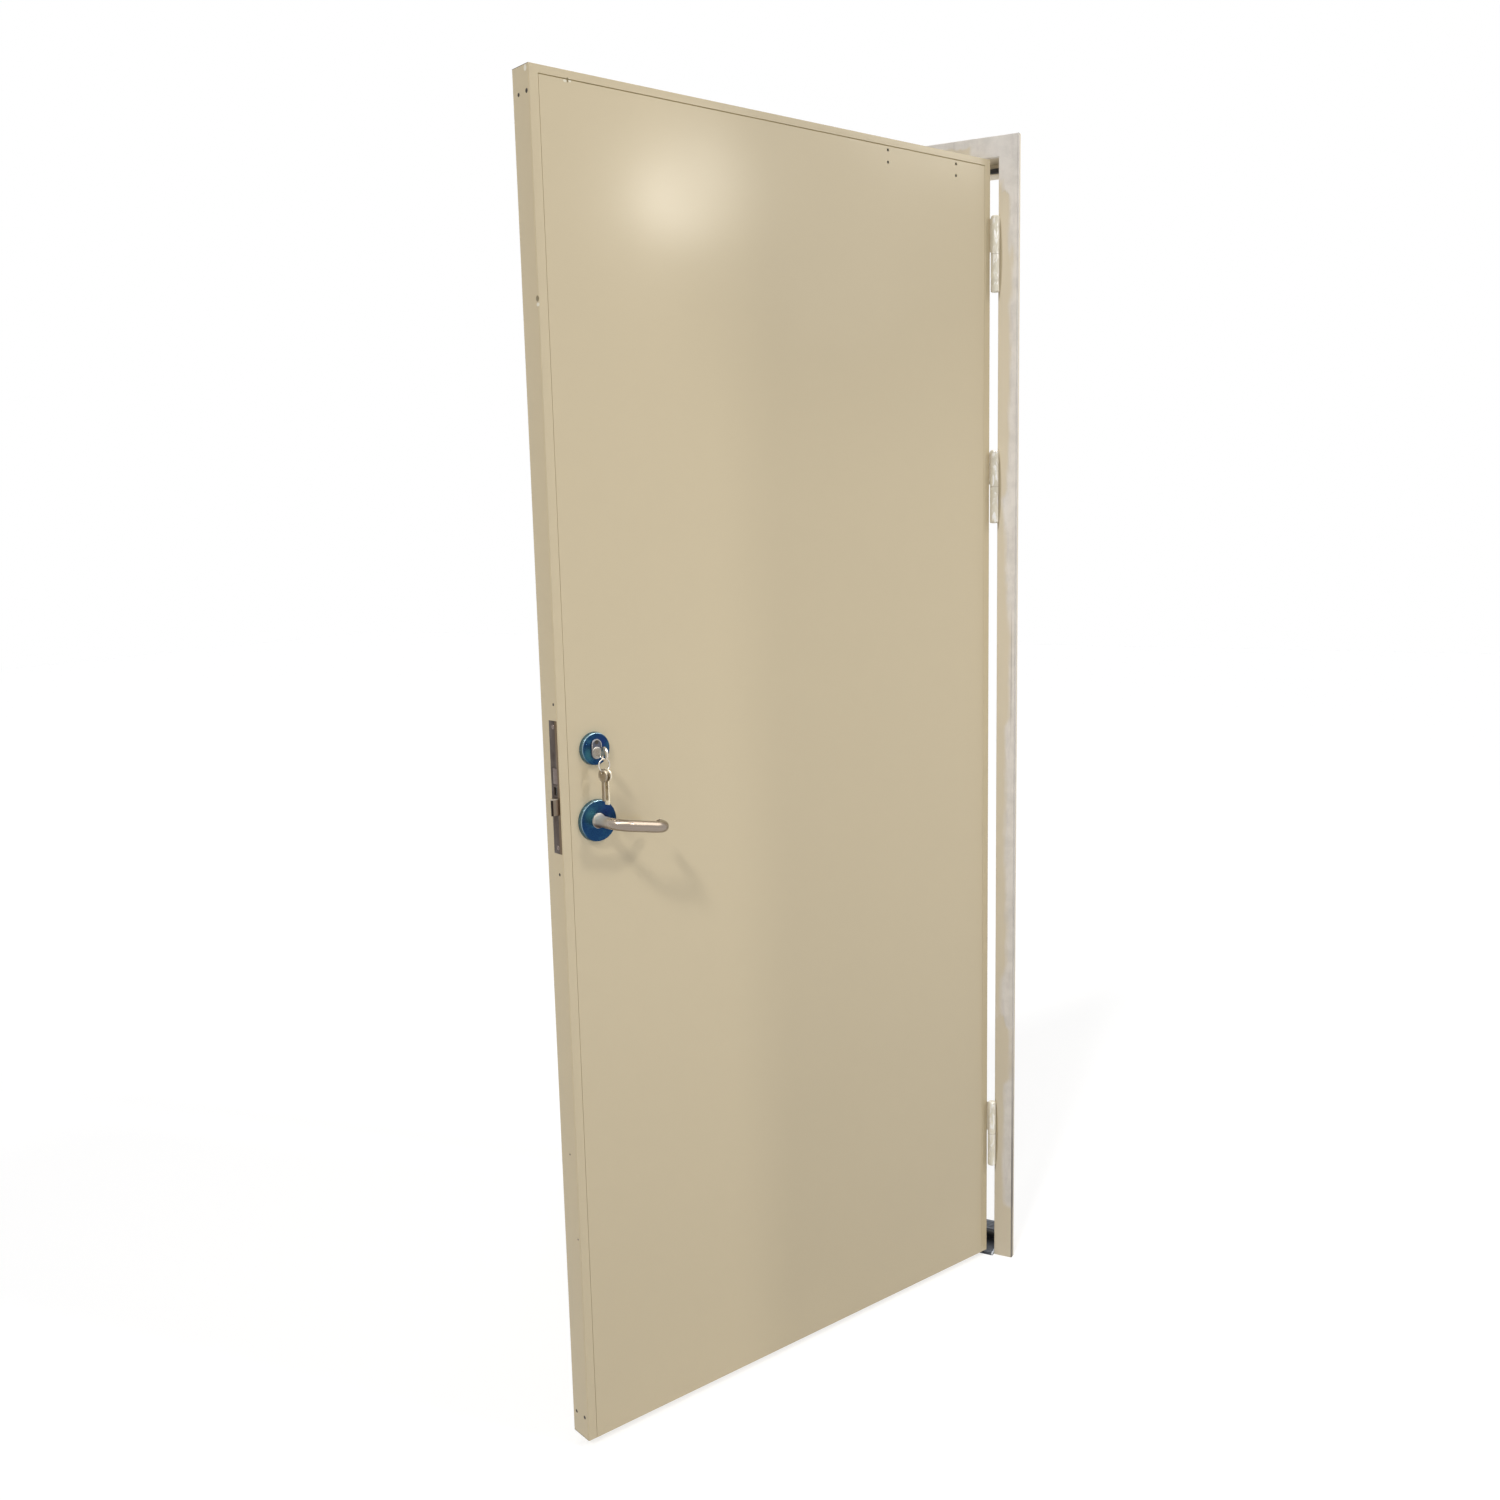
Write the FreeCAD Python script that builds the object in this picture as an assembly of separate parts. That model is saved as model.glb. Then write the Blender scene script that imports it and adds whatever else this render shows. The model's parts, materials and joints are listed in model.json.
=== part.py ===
import FreeCAD, Part
import math
import os

# Steel utility door in its frame, hinged on the right as seen from the side it
# opens towards.  Millimetres.  X runs along the frame's width, Y through its
# depth (the pull side is at -Y) and Z up.  The origin is the middle of the
# threshold's underside.  The leaf stands open by OPEN_ANGLE.

V = FreeCAD.Vector

# Leaf.
LEAF_W = 925.0
LEAF_H = 2038.0
LEAF_T = 44.0
LEAF_Z = 11.0
SHEET = 1.2
LEAF_BEND_R = 2.0
HEM_SIDE = 15.0
HEM_TOP = 11.0
HEM_SEAM_SIDE = 0.5
HEM_SEAM_TOP = 1.5
OPEN_ANGLE = 67.5

# Frame.
FACE = 36.0
DEPTH = 92.0
WALL = 1.5
GAP_HINGE = 5.0
GAP_LOCK = 7.0
GAP_TOP = 5.0
REBATE = LEAF_T + 8.0
STOP_IN = 17.0
LIP = 12.0
BACK_FLANGE = 20.0
SILL_T = 5.0
SILL_STOP = 23.0
SEAL_W = 8.0
SEAL_GAP = 0.5
BEND_R = 2.0
FIX_R = 5.5
FIX_DEPTH = 27.0
FIX_END = 220.0
FIX_PITCH = 600.0

# Derived places.
WIDTH = FACE + GAP_HINGE + LEAF_W + GAP_LOCK + FACE
X_OUT = WIDTH / 2
X_JAMB_H = X_OUT - FACE
X_JAMB_L = -X_OUT + FACE
X_HINGE = X_JAMB_H - GAP_HINGE
X_LOCK = X_HINGE - LEAF_W
X_STOP_H = X_JAMB_H - STOP_IN
X_STOP_L = X_JAMB_L + STOP_IN
Y_FRONT = -DEPTH / 2
Y_BACK = DEPTH / 2
Y_REBATE = Y_FRONT + REBATE
LEAF_TOP = LEAF_Z + LEAF_H
Z_HEAD = LEAF_TOP + GAP_TOP
Z_STOP = Z_HEAD - STOP_IN
HEIGHT = Z_HEAD + FACE
FIX_LEVELS = (FIX_END, FIX_END + FIX_PITCH, LEAF_TOP - FIX_END - FIX_PITCH, LEAF_TOP - FIX_END)

# Hinges.
AXIS_OUT = 9.0
AXIS_X = (X_HINGE + X_JAMB_H) / 2
AXIS_Y = Y_FRONT - AXIS_OUT
KNUCKLE_R = 7.5
KNUCKLE_L = 130.0
KNUCKLE_GAP = 0.6
KNUCKLE_DOME = 3.0
PIN_R = 5.0
PIN_CLEAR = 0.05
PIN_UP = 42.0
PIN_DOWN = 45.0
WING_T = 2.2
WING_DEPTH = 32.0
WING_MARGIN = 4.0
HINGE_TOP = 159.0
HINGE_MIDDLE = 561.5
HINGE_BOTTOM = 244.0
HINGES = (("top", LEAF_TOP - HINGE_TOP), ("middle", LEAF_TOP - HINGE_MIDDLE), ("bottom", LEAF_Z + HINGE_BOTTOM))

# Lock.
BACKSET = 60.0
U_LOCK = LEAF_W - BACKSET
D_LOCK = 13.0
LEVER_UP = 987.0
CYL_ABOVE = 108.0
Z_LEVER = LEAF_Z + LEVER_UP
Z_CYL = Z_LEVER + CYL_ABOVE
FOREND_W = 22.0
FOREND_L = 198.0
FOREND_T = 3.0
FOREND_SLOT_W = 8.0
FOREND_SLOT_H = 12.0
FOREND_Z = Z_LEVER + 55.0
CASE_T = 16.0
CASE_DEEP = 92.0
CASE_L = 168.0
CASE_WALL = 1.5
BOLT_T = 12.0
BOLT_FIT = 0.3
BOLT_PITCH = 45.0
DEAD_Z = Z_LEVER + 72.0
DEAD_H = 24.0
DEAD_L = 48.0
DEAD_THROW = 20.0
LATCH_Z = DEAD_Z - BOLT_PITCH
LATCH_H = 25.0
LATCH_L = 40.0
LATCH_OUT = 11.5

# Strike.
STRIKE_T = 2.0
STRIKE_W = 24.0
STRIKE_END = 40.0
STRIKE_L = BOLT_PITCH + DEAD_H / 2 + LATCH_H / 2 + 2 * STRIKE_END
STRIKE_Z = (DEAD_Z + LATCH_Z) / 2
POCKET_CLEAR = 2.5
POCKET_DEEP = 24.0
BOX_WALL = 1.0

# Furniture.
LEVER_ROSE_R = 32.0
CYL_ROSE_R = 25.0
ROSE_H = 7.0
LEVER_R = 8.7
LEVER_COLLAR_R = 11.0
LEVER_COLLAR_T = 1.5
NECK_ROOT_R = 10.0
NECK_TAPER = 14.0
LEVER_OUT = 58.0
LEVER_BEND = 28.0
LEVER_REACH = 94.5
LEVER_RETURN = 28.0
LEVER_DROOP = 10.0
NECK_FIT = 0.3
SPINDLE = 8.0
SPINDLE_IN = 24.0
CYL_W = 18.0
CYL_TALL = 30.0
CYL_OUT = 9.0
PLUG_R = 6.5
PLUG_FIT = 0.07
PLUG_DROP = 5.0
PLUG_IN = 14.0

# Keys.
KEY_T = 2.2
BOW_R = 10.5
BOW_OUT = 27.0
BOW_HOLE_R = 3.2
BOW_HOLE_DROP = 5.6
RING_R = 9.3
RING_WIRE_R = 0.8
RING_GAP = 0.3
SPARE_GAP = 0.4
SPARE_BOW_R = 10.0
SPARE_L = 54.0
SPARE_HOLE_R = 3.0
SPARE_T = 2.0
SPARE_SHIFT = 3.0

# Closer fixing.
CLOSER_U = 168.7
CLOSER_DOWN = 28.0
CLOSER_Z = LEAF_TOP - CLOSER_DOWN
CLOSER_DX = 162.0
CLOSER_DZ = 19.0
CLOSER_R = 2.5
CLOSER_PLATE_T = 4.0
CLOSER_PLATE_L = CLOSER_DX + 38.0
CLOSER_PLATE_EDGE = 6.0


def box(x0, x1, y0, y1, z0, z1):
    return Part.makeBox(x1 - x0, y1 - y0, z1 - z0, V(x0, y0, z0))


def leaf_box(u0, u1, d0, d1, z0, z1):
    """Box in the closed leaf: u from the hinge edge, d from the pull face."""
    return box(X_HINGE - u1, X_HINGE - u0, Y_FRONT + d0, Y_FRONT + d1, z0, z1)


def leaf_point(u, d, z):
    return V(X_HINGE - u, Y_FRONT + d, z)


def leaf_rod(u, z, d0, d1, r):
    """Cylinder through the closed leaf from depth d0 to d1."""
    return Part.makeCylinder(r, d1 - d0, leaf_point(u, d0, z), V(0, 1, 0))


def swing(shape):
    """Carry a closed leaf's piece to the open position."""
    out = shape.copy()
    out.rotate(V(AXIS_X, AXIS_Y, 0), V(0, 0, 1), OPEN_ANGLE)
    return out


def revolve(points, u, z, out):
    """Turn (radius, height) points about a line through the leaf's face.

    Height grows away from the leaf, on the pull side for out = -1 and on the
    push side for out = 1."""
    base = 0.0 if out < 0 else LEAF_T
    ring = [leaf_point(u - r, base + out * h, z) for r, h in points]
    wire = Part.makePolygon(ring + [ring[0]])
    return Part.Face(wire).revolve(leaf_point(u, 0, z), V(0, 1, 0), 360)


def solid_of(shape):
    return shape.Solids[0] if len(shape.Solids) == 1 else shape


def vertical_edges(shape, x, y):
    """Straight vertical edges at one place in plan."""
    found = []
    for edge in shape.Edges:
        a, b = edge.Vertexes[0].Point, edge.Vertexes[-1].Point
        if abs(a.x - x) < 0.01 and abs(b.x - x) < 0.01 and abs(a.y - y) < 0.01 and abs(b.y - y) < 0.01:
            found.append(edge)
    return found


# Frame.
def frame_section():
    """Outline of the folded sheet, as (distance behind the reveal, y): lip, face, reveal, stop, back flange."""
    end = BACK_FLANGE - STOP_IN
    shown = [(FACE, Y_FRONT + LIP), (FACE, Y_FRONT), (0, Y_FRONT), (0, Y_REBATE),
             (-STOP_IN, Y_REBATE), (-STOP_IN, Y_BACK), (end, Y_BACK)]
    hidden = [(end, Y_BACK - WALL), (WALL - STOP_IN, Y_BACK - WALL), (WALL - STOP_IN, Y_REBATE + WALL),
              (WALL, Y_REBATE + WALL), (WALL, Y_FRONT + WALL), (FACE - WALL, Y_FRONT + WALL),
              (FACE - WALL, Y_FRONT + LIP)]
    return shown, hidden


def bent_bar(place, along):
    """Frame profile put in place by a function of (behind, y), with its bends rounded."""
    shown, hidden = frame_section()
    ring = [place(p, y) for p, y in shown + hidden]
    bar = Part.Face(Part.makePolygon(ring + ring[:1])).extrude(along)
    outer_bends = [place(p, y) for p, y in (shown[1], shown[2], shown[4], shown[5], hidden[3])]
    inner_bends = [place(p, y) for p, y in (hidden[1], hidden[2], hidden[4], hidden[5], shown[3])]
    for corners, radius in ((outer_bends, BEND_R), (inner_bends, BEND_R - WALL)):
        edges = [e for e in bar.Edges for c in corners if runs_through(e, c, c + along)]
        bar = bar.makeFillet(radius, edges)
    return bar


def runs_through(edge, a, b):
    """Whether an edge's two ends lie at a and b."""
    ends = [v.Point for v in edge.Vertexes]
    if len(ends) != 2:
        return False
    there = ends[0].distanceToPoint(a) + ends[1].distanceToPoint(b)
    back = ends[0].distanceToPoint(b) + ends[1].distanceToPoint(a)
    return min(there, back) < 0.01


def mitre(side, above):
    """Block on one side of the corner's 45 degree joint; side = 1 at the hinges."""
    face_x = X_JAMB_H if side > 0 else X_JAMB_L
    far = FACE + DEPTH
    corners = [V(face_x - side * far, Y_FRONT - 1, Z_HEAD - far), V(face_x + side * far, Y_FRONT - 1, Z_HEAD + far)]
    corners.append(V(face_x - side * far, Y_FRONT - 1, Z_HEAD + far) if above
                   else V(face_x + side * far, Y_FRONT - 1, Z_HEAD - far))
    return Part.Face(Part.makePolygon(corners + corners[:1])).extrude(V(0, DEPTH + 2, 0))


def jamb(side):
    """Folded sheet jamb, mitred at the head; side = 1 at the hinges."""
    face_x = X_JAMB_H if side > 0 else X_JAMB_L
    body = bent_bar(lambda p, y: V(face_x + side * p, y, 0), V(0, 0, HEIGHT))
    body = body.cut(mitre(side, True))
    for z in FIX_LEVELS:
        start = V(face_x - side, Y_FRONT + FIX_DEPTH, z)
        body = body.cut(Part.makeCylinder(FIX_R, WALL + 2, start, V(side, 0, 0)))
    return body


def head():
    """Folded sheet head, mitred at both jambs."""
    body = bent_bar(lambda p, y: V(-X_OUT, y, Z_HEAD + p), V(WIDTH, 0, 0))
    for side in (1, -1):
        body = body.cut(mitre(side, False))
    return body


def threshold():
    """Low threshold: a plate under the leaf and a hollow stop behind it."""
    plate = box(X_JAMB_L, X_JAMB_H, Y_FRONT + 4, Y_REBATE, 0, SILL_T)
    stop = box(X_STOP_L, X_STOP_H, Y_REBATE, Y_BACK, 0, SILL_STOP)
    body = plate.fuse(stop).removeSplitter()
    top = [e for e in body.Edges
           if all(abs(v.Point.z - SILL_STOP) < 0.01 for v in e.Vertexes)
           and abs(e.Vertexes[0].Point.y - e.Vertexes[-1].Point.y) < 0.01]
    body = body.makeFillet(3.0, top)
    hollow = box(X_STOP_L + 2, X_STOP_H - 2, Y_REBATE + 2, Y_BACK - 2, 2, SILL_STOP - 2)
    return body.cut(hollow)


def seal_bar(x0, x1, z0, z1, along):
    """Rubber strip on the rebate's stop, rounded towards the closed leaf."""
    y0 = Y_FRONT + LEAF_T + SEAL_GAP
    bar = box(x0, x1, y0, Y_REBATE, z0, z1)
    edges = []
    for e in bar.Edges:
        a, b = e.Vertexes[0].Point, e.Vertexes[-1].Point
        if abs(a.y - y0) < 0.01 and abs(b.y - y0) < 0.01 and (abs(a.x - b.x) > 1.0 if along == "x" else abs(a.z - b.z) > 1.0):
            if along == "x" or abs(a.x - b.x) < 0.01:
                edges.append(e)
    return bar.makeFillet(3.0, edges)


def seals():
    inset = 1.5
    hinge_in = X_STOP_H + inset
    lock_in = X_STOP_L - inset
    low = SILL_STOP - inset - SEAL_W
    high = Z_STOP + inset + SEAL_W
    return {
        "seal_hinge_side": seal_bar(hinge_in, hinge_in + SEAL_W, low, high, "z"),
        "seal_lock_side": seal_bar(lock_in - SEAL_W, lock_in, low, high, "z"),
        "seal_head": seal_bar(lock_in, hinge_in, Z_STOP + inset, high, "x"),
        "seal_threshold": seal_bar(lock_in, hinge_in, low, low + SEAL_W, "x"),
    }


# Hinges.
def knuckle(z0, z1, domed_top):
    body = Part.makeCylinder(KNUCKLE_R, z1 - z0, V(AXIS_X, AXIS_Y, z0))
    end = z1 if domed_top else z0
    rim = [e for e in body.Edges if e.Closed and abs(e.BoundBox.ZMin - end) < 0.01 and abs(e.BoundBox.ZMax - end) < 0.01]
    return body.makeFillet(KNUCKLE_DOME, rim)


def hinge_lower(zc):
    """Half on the frame: knuckle below the joint and a wing on the jamb."""
    top = zc - KNUCKLE_GAP / 2
    low = zc - KNUCKLE_L / 2
    body = knuckle(low, top, False)
    wing = box(X_JAMB_H - WING_T, X_JAMB_H, AXIS_Y, Y_FRONT + WING_DEPTH, low + WING_MARGIN, top - WING_MARGIN)
    body = body.fuse(wing).removeSplitter()
    return body.cut(Part.makeCylinder(PIN_R, PIN_DOWN + 1, V(AXIS_X, AXIS_Y, zc - PIN_DOWN)))


def hinge_pin(zc):
    pin = Part.makeCylinder(PIN_R, PIN_UP + PIN_DOWN, V(AXIS_X, AXIS_Y, zc - PIN_DOWN))
    tip = [e for e in pin.Edges if e.Closed and abs(e.BoundBox.ZMin - zc - PIN_UP) < 0.01]
    return pin.makeChamfer(1.0, tip)


def hinge_upper(zc):
    """Half on the leaf: knuckle above the joint with a blind bore."""
    low = zc + KNUCKLE_GAP / 2
    top = zc + KNUCKLE_L / 2
    body = knuckle(low, top, True)
    wing = box(X_HINGE, X_HINGE + WING_T, AXIS_Y, Y_FRONT + WING_DEPTH, low + WING_MARGIN, top - WING_MARGIN)
    body = body.fuse(wing).removeSplitter()
    bore = Part.makeCylinder(PIN_R + PIN_CLEAR, PIN_UP + 1, V(AXIS_X, AXIS_Y, zc))
    return swing(body.cut(bore))


# Leaf.
def stadium(u, z, d0, d1, w, tall):
    """Oval bar through the leaf, straight sides and round ends."""
    half = tall / 2 - w / 2
    body = leaf_box(u - w / 2, u + w / 2, d0, d1, z - half, z + half)
    for end in (-half, half):
        body = body.fuse(leaf_rod(u, z + end, d0, d1, w / 2))
    return body.removeSplitter()


def closer_holes(d0, d1, r=CLOSER_R):
    found = []
    for du in (-CLOSER_DX / 2, CLOSER_DX / 2):
        for dz in (-CLOSER_DZ / 2, CLOSER_DZ / 2):
            found.append(leaf_rod(CLOSER_U + du, CLOSER_Z + dz, d0, d1, r))
    return found


def panel_limits(clear):
    """u and z limits of the opening in the hem, or of the front sheet in it."""
    return (HEM_SIDE + clear * HEM_SEAM_SIDE, LEAF_W - HEM_SIDE - clear * HEM_SEAM_SIDE,
            LEAF_TOP - HEM_TOP - clear * HEM_SEAM_TOP)


def leaf_tray():
    """Push-side sheet folded round the edges and over the pull side as a hem."""
    body = leaf_box(0, LEAF_W, 0, LEAF_T, LEAF_Z, LEAF_TOP)
    bends = [e for x in (X_LOCK, X_HINGE) for y in (Y_FRONT, Y_FRONT + LEAF_T) for e in vertical_edges(body, x, y)]
    body = body.makeFillet(LEAF_BEND_R, bends)
    body = body.cut(leaf_box(SHEET, LEAF_W - SHEET, SHEET, LEAF_T - SHEET, LEAF_Z + SHEET, LEAF_TOP - SHEET))
    u0, u1, top = panel_limits(0)
    body = body.cut(leaf_box(u0, u1, -1, SHEET, LEAF_Z - 1, top))
    half = FOREND_L / 2
    body = body.cut(leaf_box(LEAF_W - FOREND_T, LEAF_W + 1, D_LOCK - FOREND_W / 2, D_LOCK + FOREND_W / 2,
                             FOREND_Z - half, FOREND_Z + half))
    body = body.cut(leaf_rod(U_LOCK, Z_LEVER, LEAF_T - 5, LEAF_T + 5, 12.0))
    return body.cut(leaf_rod(U_LOCK, Z_CYL, LEAF_T - 5, LEAF_T + 5, 12.0))


def leaf_front_sheet():
    u0, u1, top = panel_limits(1)
    body = leaf_box(u0, u1, 0, SHEET, LEAF_Z, top)
    body = body.cut(leaf_rod(U_LOCK, Z_LEVER, -5, 5, 12.0))
    body = body.cut(stadium(U_LOCK, Z_CYL, -5, 5, CYL_W + 1, CYL_TALL + 1))
    for hole in closer_holes(-5, 5):
        body = body.cut(hole)
    return body


def leaf_core():
    """Insulation that fills the leaf, with pockets for what is let into it."""
    body = leaf_box(SHEET, LEAF_W - SHEET, SHEET, LEAF_T - SHEET, LEAF_Z + SHEET, LEAF_TOP - SHEET)
    case_u = LEAF_W - FOREND_T
    half = FOREND_L / 2 + 1
    body = body.cut(leaf_box(case_u - 1, LEAF_W, D_LOCK - FOREND_W / 2 - 1, D_LOCK + FOREND_W / 2 + 1,
                             FOREND_Z - half, FOREND_Z + half))
    body = body.cut(leaf_box(case_u - CASE_DEEP, case_u, D_LOCK - CASE_T / 2, D_LOCK + CASE_T / 2,
                             FOREND_Z - CASE_L / 2, FOREND_Z + CASE_L / 2))
    body = body.cut(leaf_rod(U_LOCK, Z_LEVER, 0, LEAF_T, 12.0))
    body = body.cut(leaf_rod(U_LOCK, Z_CYL, 20, LEAF_T, 12.0))
    body = body.cut(stadium(U_LOCK, Z_CYL, 0, D_LOCK, CYL_W + 1, CYL_TALL + 1))
    body = body.cut(closer_blank(0))
    for hole in closer_holes(0, 25, 2 * CLOSER_R):
        body = body.cut(hole)
    return body


def closer_blank(d0):
    half = CLOSER_PLATE_L / 2
    rise = CLOSER_DZ / 2 + CLOSER_PLATE_EDGE
    return leaf_box(CLOSER_U - half, CLOSER_U + half, d0, SHEET + CLOSER_PLATE_T, CLOSER_Z - rise, CLOSER_Z + rise)


def closer_plate():
    """Reinforcing plate behind the front sheet for a door closer."""
    body = closer_blank(SHEET)
    for hole in closer_holes(-5, 10):
        body = body.cut(hole)
    return body


# Lock.
def lock_case():
    u1 = LEAF_W - FOREND_T
    u0 = u1 - CASE_DEEP
    half = CASE_L / 2
    d0, d1 = D_LOCK - CASE_T / 2, D_LOCK + CASE_T / 2
    body = leaf_box(u0, u1, d0, d1, FOREND_Z - half, FOREND_Z + half)
    body = body.cut(leaf_box(u0 + CASE_WALL, u1 + 1, d0 + CASE_WALL, d1 - CASE_WALL,
                             FOREND_Z - half + CASE_WALL, FOREND_Z + half - CASE_WALL))
    body = body.cut(leaf_rod(U_LOCK, Z_LEVER, 0, LEAF_T, 8.0))
    return body.cut(leaf_rod(U_LOCK, Z_CYL - PLUG_DROP, 0, LEAF_T, PLUG_R + 0.5))


def bolt_box(z, tall, u0, u1, grow):
    half = BOLT_T / 2 + grow
    return leaf_box(u0, u1, D_LOCK - half, D_LOCK + half, z - tall / 2 - grow, z + tall / 2 + grow)


def lock_forend():
    half = FOREND_L / 2
    body = leaf_box(LEAF_W - FOREND_T, LEAF_W, D_LOCK - FOREND_W / 2, D_LOCK + FOREND_W / 2,
                    FOREND_Z - half, FOREND_Z + half)
    body = body.cut(bolt_box(DEAD_Z, DEAD_H, LEAF_W - 5, LEAF_W + 5, BOLT_FIT))
    body = body.cut(bolt_box(LATCH_Z, LATCH_H, LEAF_W - 5, LEAF_W + 5, BOLT_FIT))
    slot_z = (DEAD_Z - DEAD_H / 2 + LATCH_Z + LATCH_H / 2) / 2
    return body.cut(leaf_box(LEAF_W - 5, LEAF_W + 5, D_LOCK - FOREND_SLOT_W / 2, D_LOCK + FOREND_SLOT_W / 2,
                             slot_z - FOREND_SLOT_H / 2, slot_z + FOREND_SLOT_H / 2))


def dead_bolt():
    return bolt_box(DEAD_Z, DEAD_H, LEAF_W - DEAD_L, LEAF_W, 0)


def latch_bolt():
    """Sprung latch, bevelled on the side that meets the frame on closing."""
    tip = LEAF_W + LATCH_OUT
    body = bolt_box(LATCH_Z, LATCH_H, tip - LATCH_L, tip, 0)
    d1 = D_LOCK + BOLT_T / 2
    rise = BOLT_T - 2.5
    z0 = LATCH_Z - LATCH_H / 2 - 1
    corner = [leaf_point(LEAF_W + 0.5, d1 + 0.01, z0), leaf_point(tip + 1, d1 + 0.01, z0), leaf_point(tip + 1, d1 - rise, z0),
              leaf_point(tip, d1 - rise, z0)]
    wedge = Part.Face(Part.makePolygon(corner + corner[:1])).extrude(V(0, 0, LATCH_H + 2))
    return body.cut(wedge)


# Strike.
def pocket(z, tall, x0, x1, grow):
    half = BOLT_T / 2 + grow
    y = Y_FRONT + D_LOCK
    return box(x0, x1, y - half, y + half, z - tall / 2 - grow, z + tall / 2 + grow)


def strike_holes(x0, x1, grow):
    dead = pocket(DEAD_Z, DEAD_H, x0, x1, grow)
    latch = pocket(LATCH_Z, LATCH_H, x0, x1, grow)
    return [dead, latch]


def strike_blank(x0, x1):
    y = Y_FRONT + D_LOCK
    return box(x0, x1, y - STRIKE_W / 2 + 2, y + STRIKE_W / 2 + 2, STRIKE_Z - STRIKE_L / 2, STRIKE_Z + STRIKE_L / 2)


def strike_plate():
    body = strike_blank(X_JAMB_L - STRIKE_T, X_JAMB_L)
    for hole in strike_holes(X_JAMB_L - 5, X_JAMB_L + 5, POCKET_CLEAR):
        body = body.cut(hole)
    return body


def strike_box():
    """Dust box behind the strike plate, one pocket for each bolt."""
    x1 = X_JAMB_L - STRIKE_T
    x0 = x1 - POCKET_DEEP
    y = Y_FRONT + D_LOCK
    half = BOLT_T / 2 + POCKET_CLEAR + BOX_WALL
    low = LATCH_Z - LATCH_H / 2 - POCKET_CLEAR - BOX_WALL
    high = DEAD_Z + DEAD_H / 2 + POCKET_CLEAR + BOX_WALL
    body = box(x0, x1, y - half, y + half, low, high)
    for hole in strike_holes(x0 + BOX_WALL, x1 + 1, POCKET_CLEAR):
        body = body.cut(hole)
    return body


# Furniture.
def rose_profile(r, bore):
    """(radius, height) outline of a flat rose with a slightly tapered, softened rim."""
    return [(bore, 0), (r, 0), (r - 0.8, ROSE_H - 1.5), (r - 1.2, ROSE_H - 0.5), (r - 2.0, ROSE_H), (bore, ROSE_H)]


def lever_rose(out):
    return revolve(rose_profile(LEVER_ROSE_R, LEVER_R + NECK_FIT), U_LOCK, Z_LEVER, out)


def cylinder_rose(out):
    body = revolve(rose_profile(CYL_ROSE_R, 0), U_LOCK, Z_CYL, out)
    if out < 0:
        return body.cut(stadium(U_LOCK, Z_CYL, -ROSE_H - 5, 5, CYL_W, CYL_TALL))
    return body.cut(leaf_rod(U_LOCK, Z_CYL, LEAF_T - 1, LEAF_T + ROSE_H + 5, 7.0 + NECK_FIT))


def cylinder_body():
    """Oval outside cylinder on the lock case, bored for its plug."""
    body = stadium(U_LOCK, Z_CYL, -CYL_OUT, D_LOCK - CASE_T / 2, CYL_W, CYL_TALL)
    rim = [e for e in body.Edges if all(abs(v.Point.y - Y_FRONT + CYL_OUT) < 0.01 for v in e.Vertexes)]
    body = body.makeChamfer(0.8, rim)
    bore = leaf_rod(U_LOCK, Z_CYL - PLUG_DROP, -CYL_OUT - 1, D_LOCK, PLUG_R + PLUG_FIT)
    return body.cut(bore)


def cylinder_plug():
    z = Z_CYL - PLUG_DROP
    body = leaf_rod(U_LOCK, z, -CYL_OUT - 0.5, PLUG_IN, PLUG_R)
    slot = leaf_box(U_LOCK - KEY_T / 2, U_LOCK + KEY_T / 2, -CYL_OUT - 2, PLUG_IN - 3, z - 4, z + 4)
    return body.cut(slot)


def key():
    """Key in the plug: round bow upright, blade in the slot."""
    z = Z_CYL - PLUG_DROP
    half = KEY_T / 2
    bow = Part.makeCylinder(BOW_R, KEY_T, leaf_point(U_LOCK + half, -BOW_OUT, z), V(1, 0, 0))
    neck = leaf_box(U_LOCK - half, U_LOCK + half, -BOW_OUT, -CYL_OUT - 0.5, z - 5.5, z + 5.5)
    blade = leaf_box(U_LOCK - half, U_LOCK + half, -CYL_OUT - 1, PLUG_IN - 3, z - 4, z + 4)
    hole = Part.makeCylinder(BOW_HOLE_R, KEY_T + 2, leaf_point(U_LOCK + half + 1, -BOW_OUT, z - BOW_HOLE_DROP), V(1, 0, 0))
    return bow.fuse(neck).fuse(blade).removeSplitter().cut(hole)


RING_TOP = Z_CYL - PLUG_DROP - BOW_HOLE_DROP - BOW_HOLE_R + RING_WIRE_R + RING_GAP
RING_Z = RING_TOP - RING_R


def key_ring():
    return Part.makeTorus(RING_R, RING_WIRE_R, leaf_point(U_LOCK, -BOW_OUT, RING_Z), V(0, 1, 0))


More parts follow.
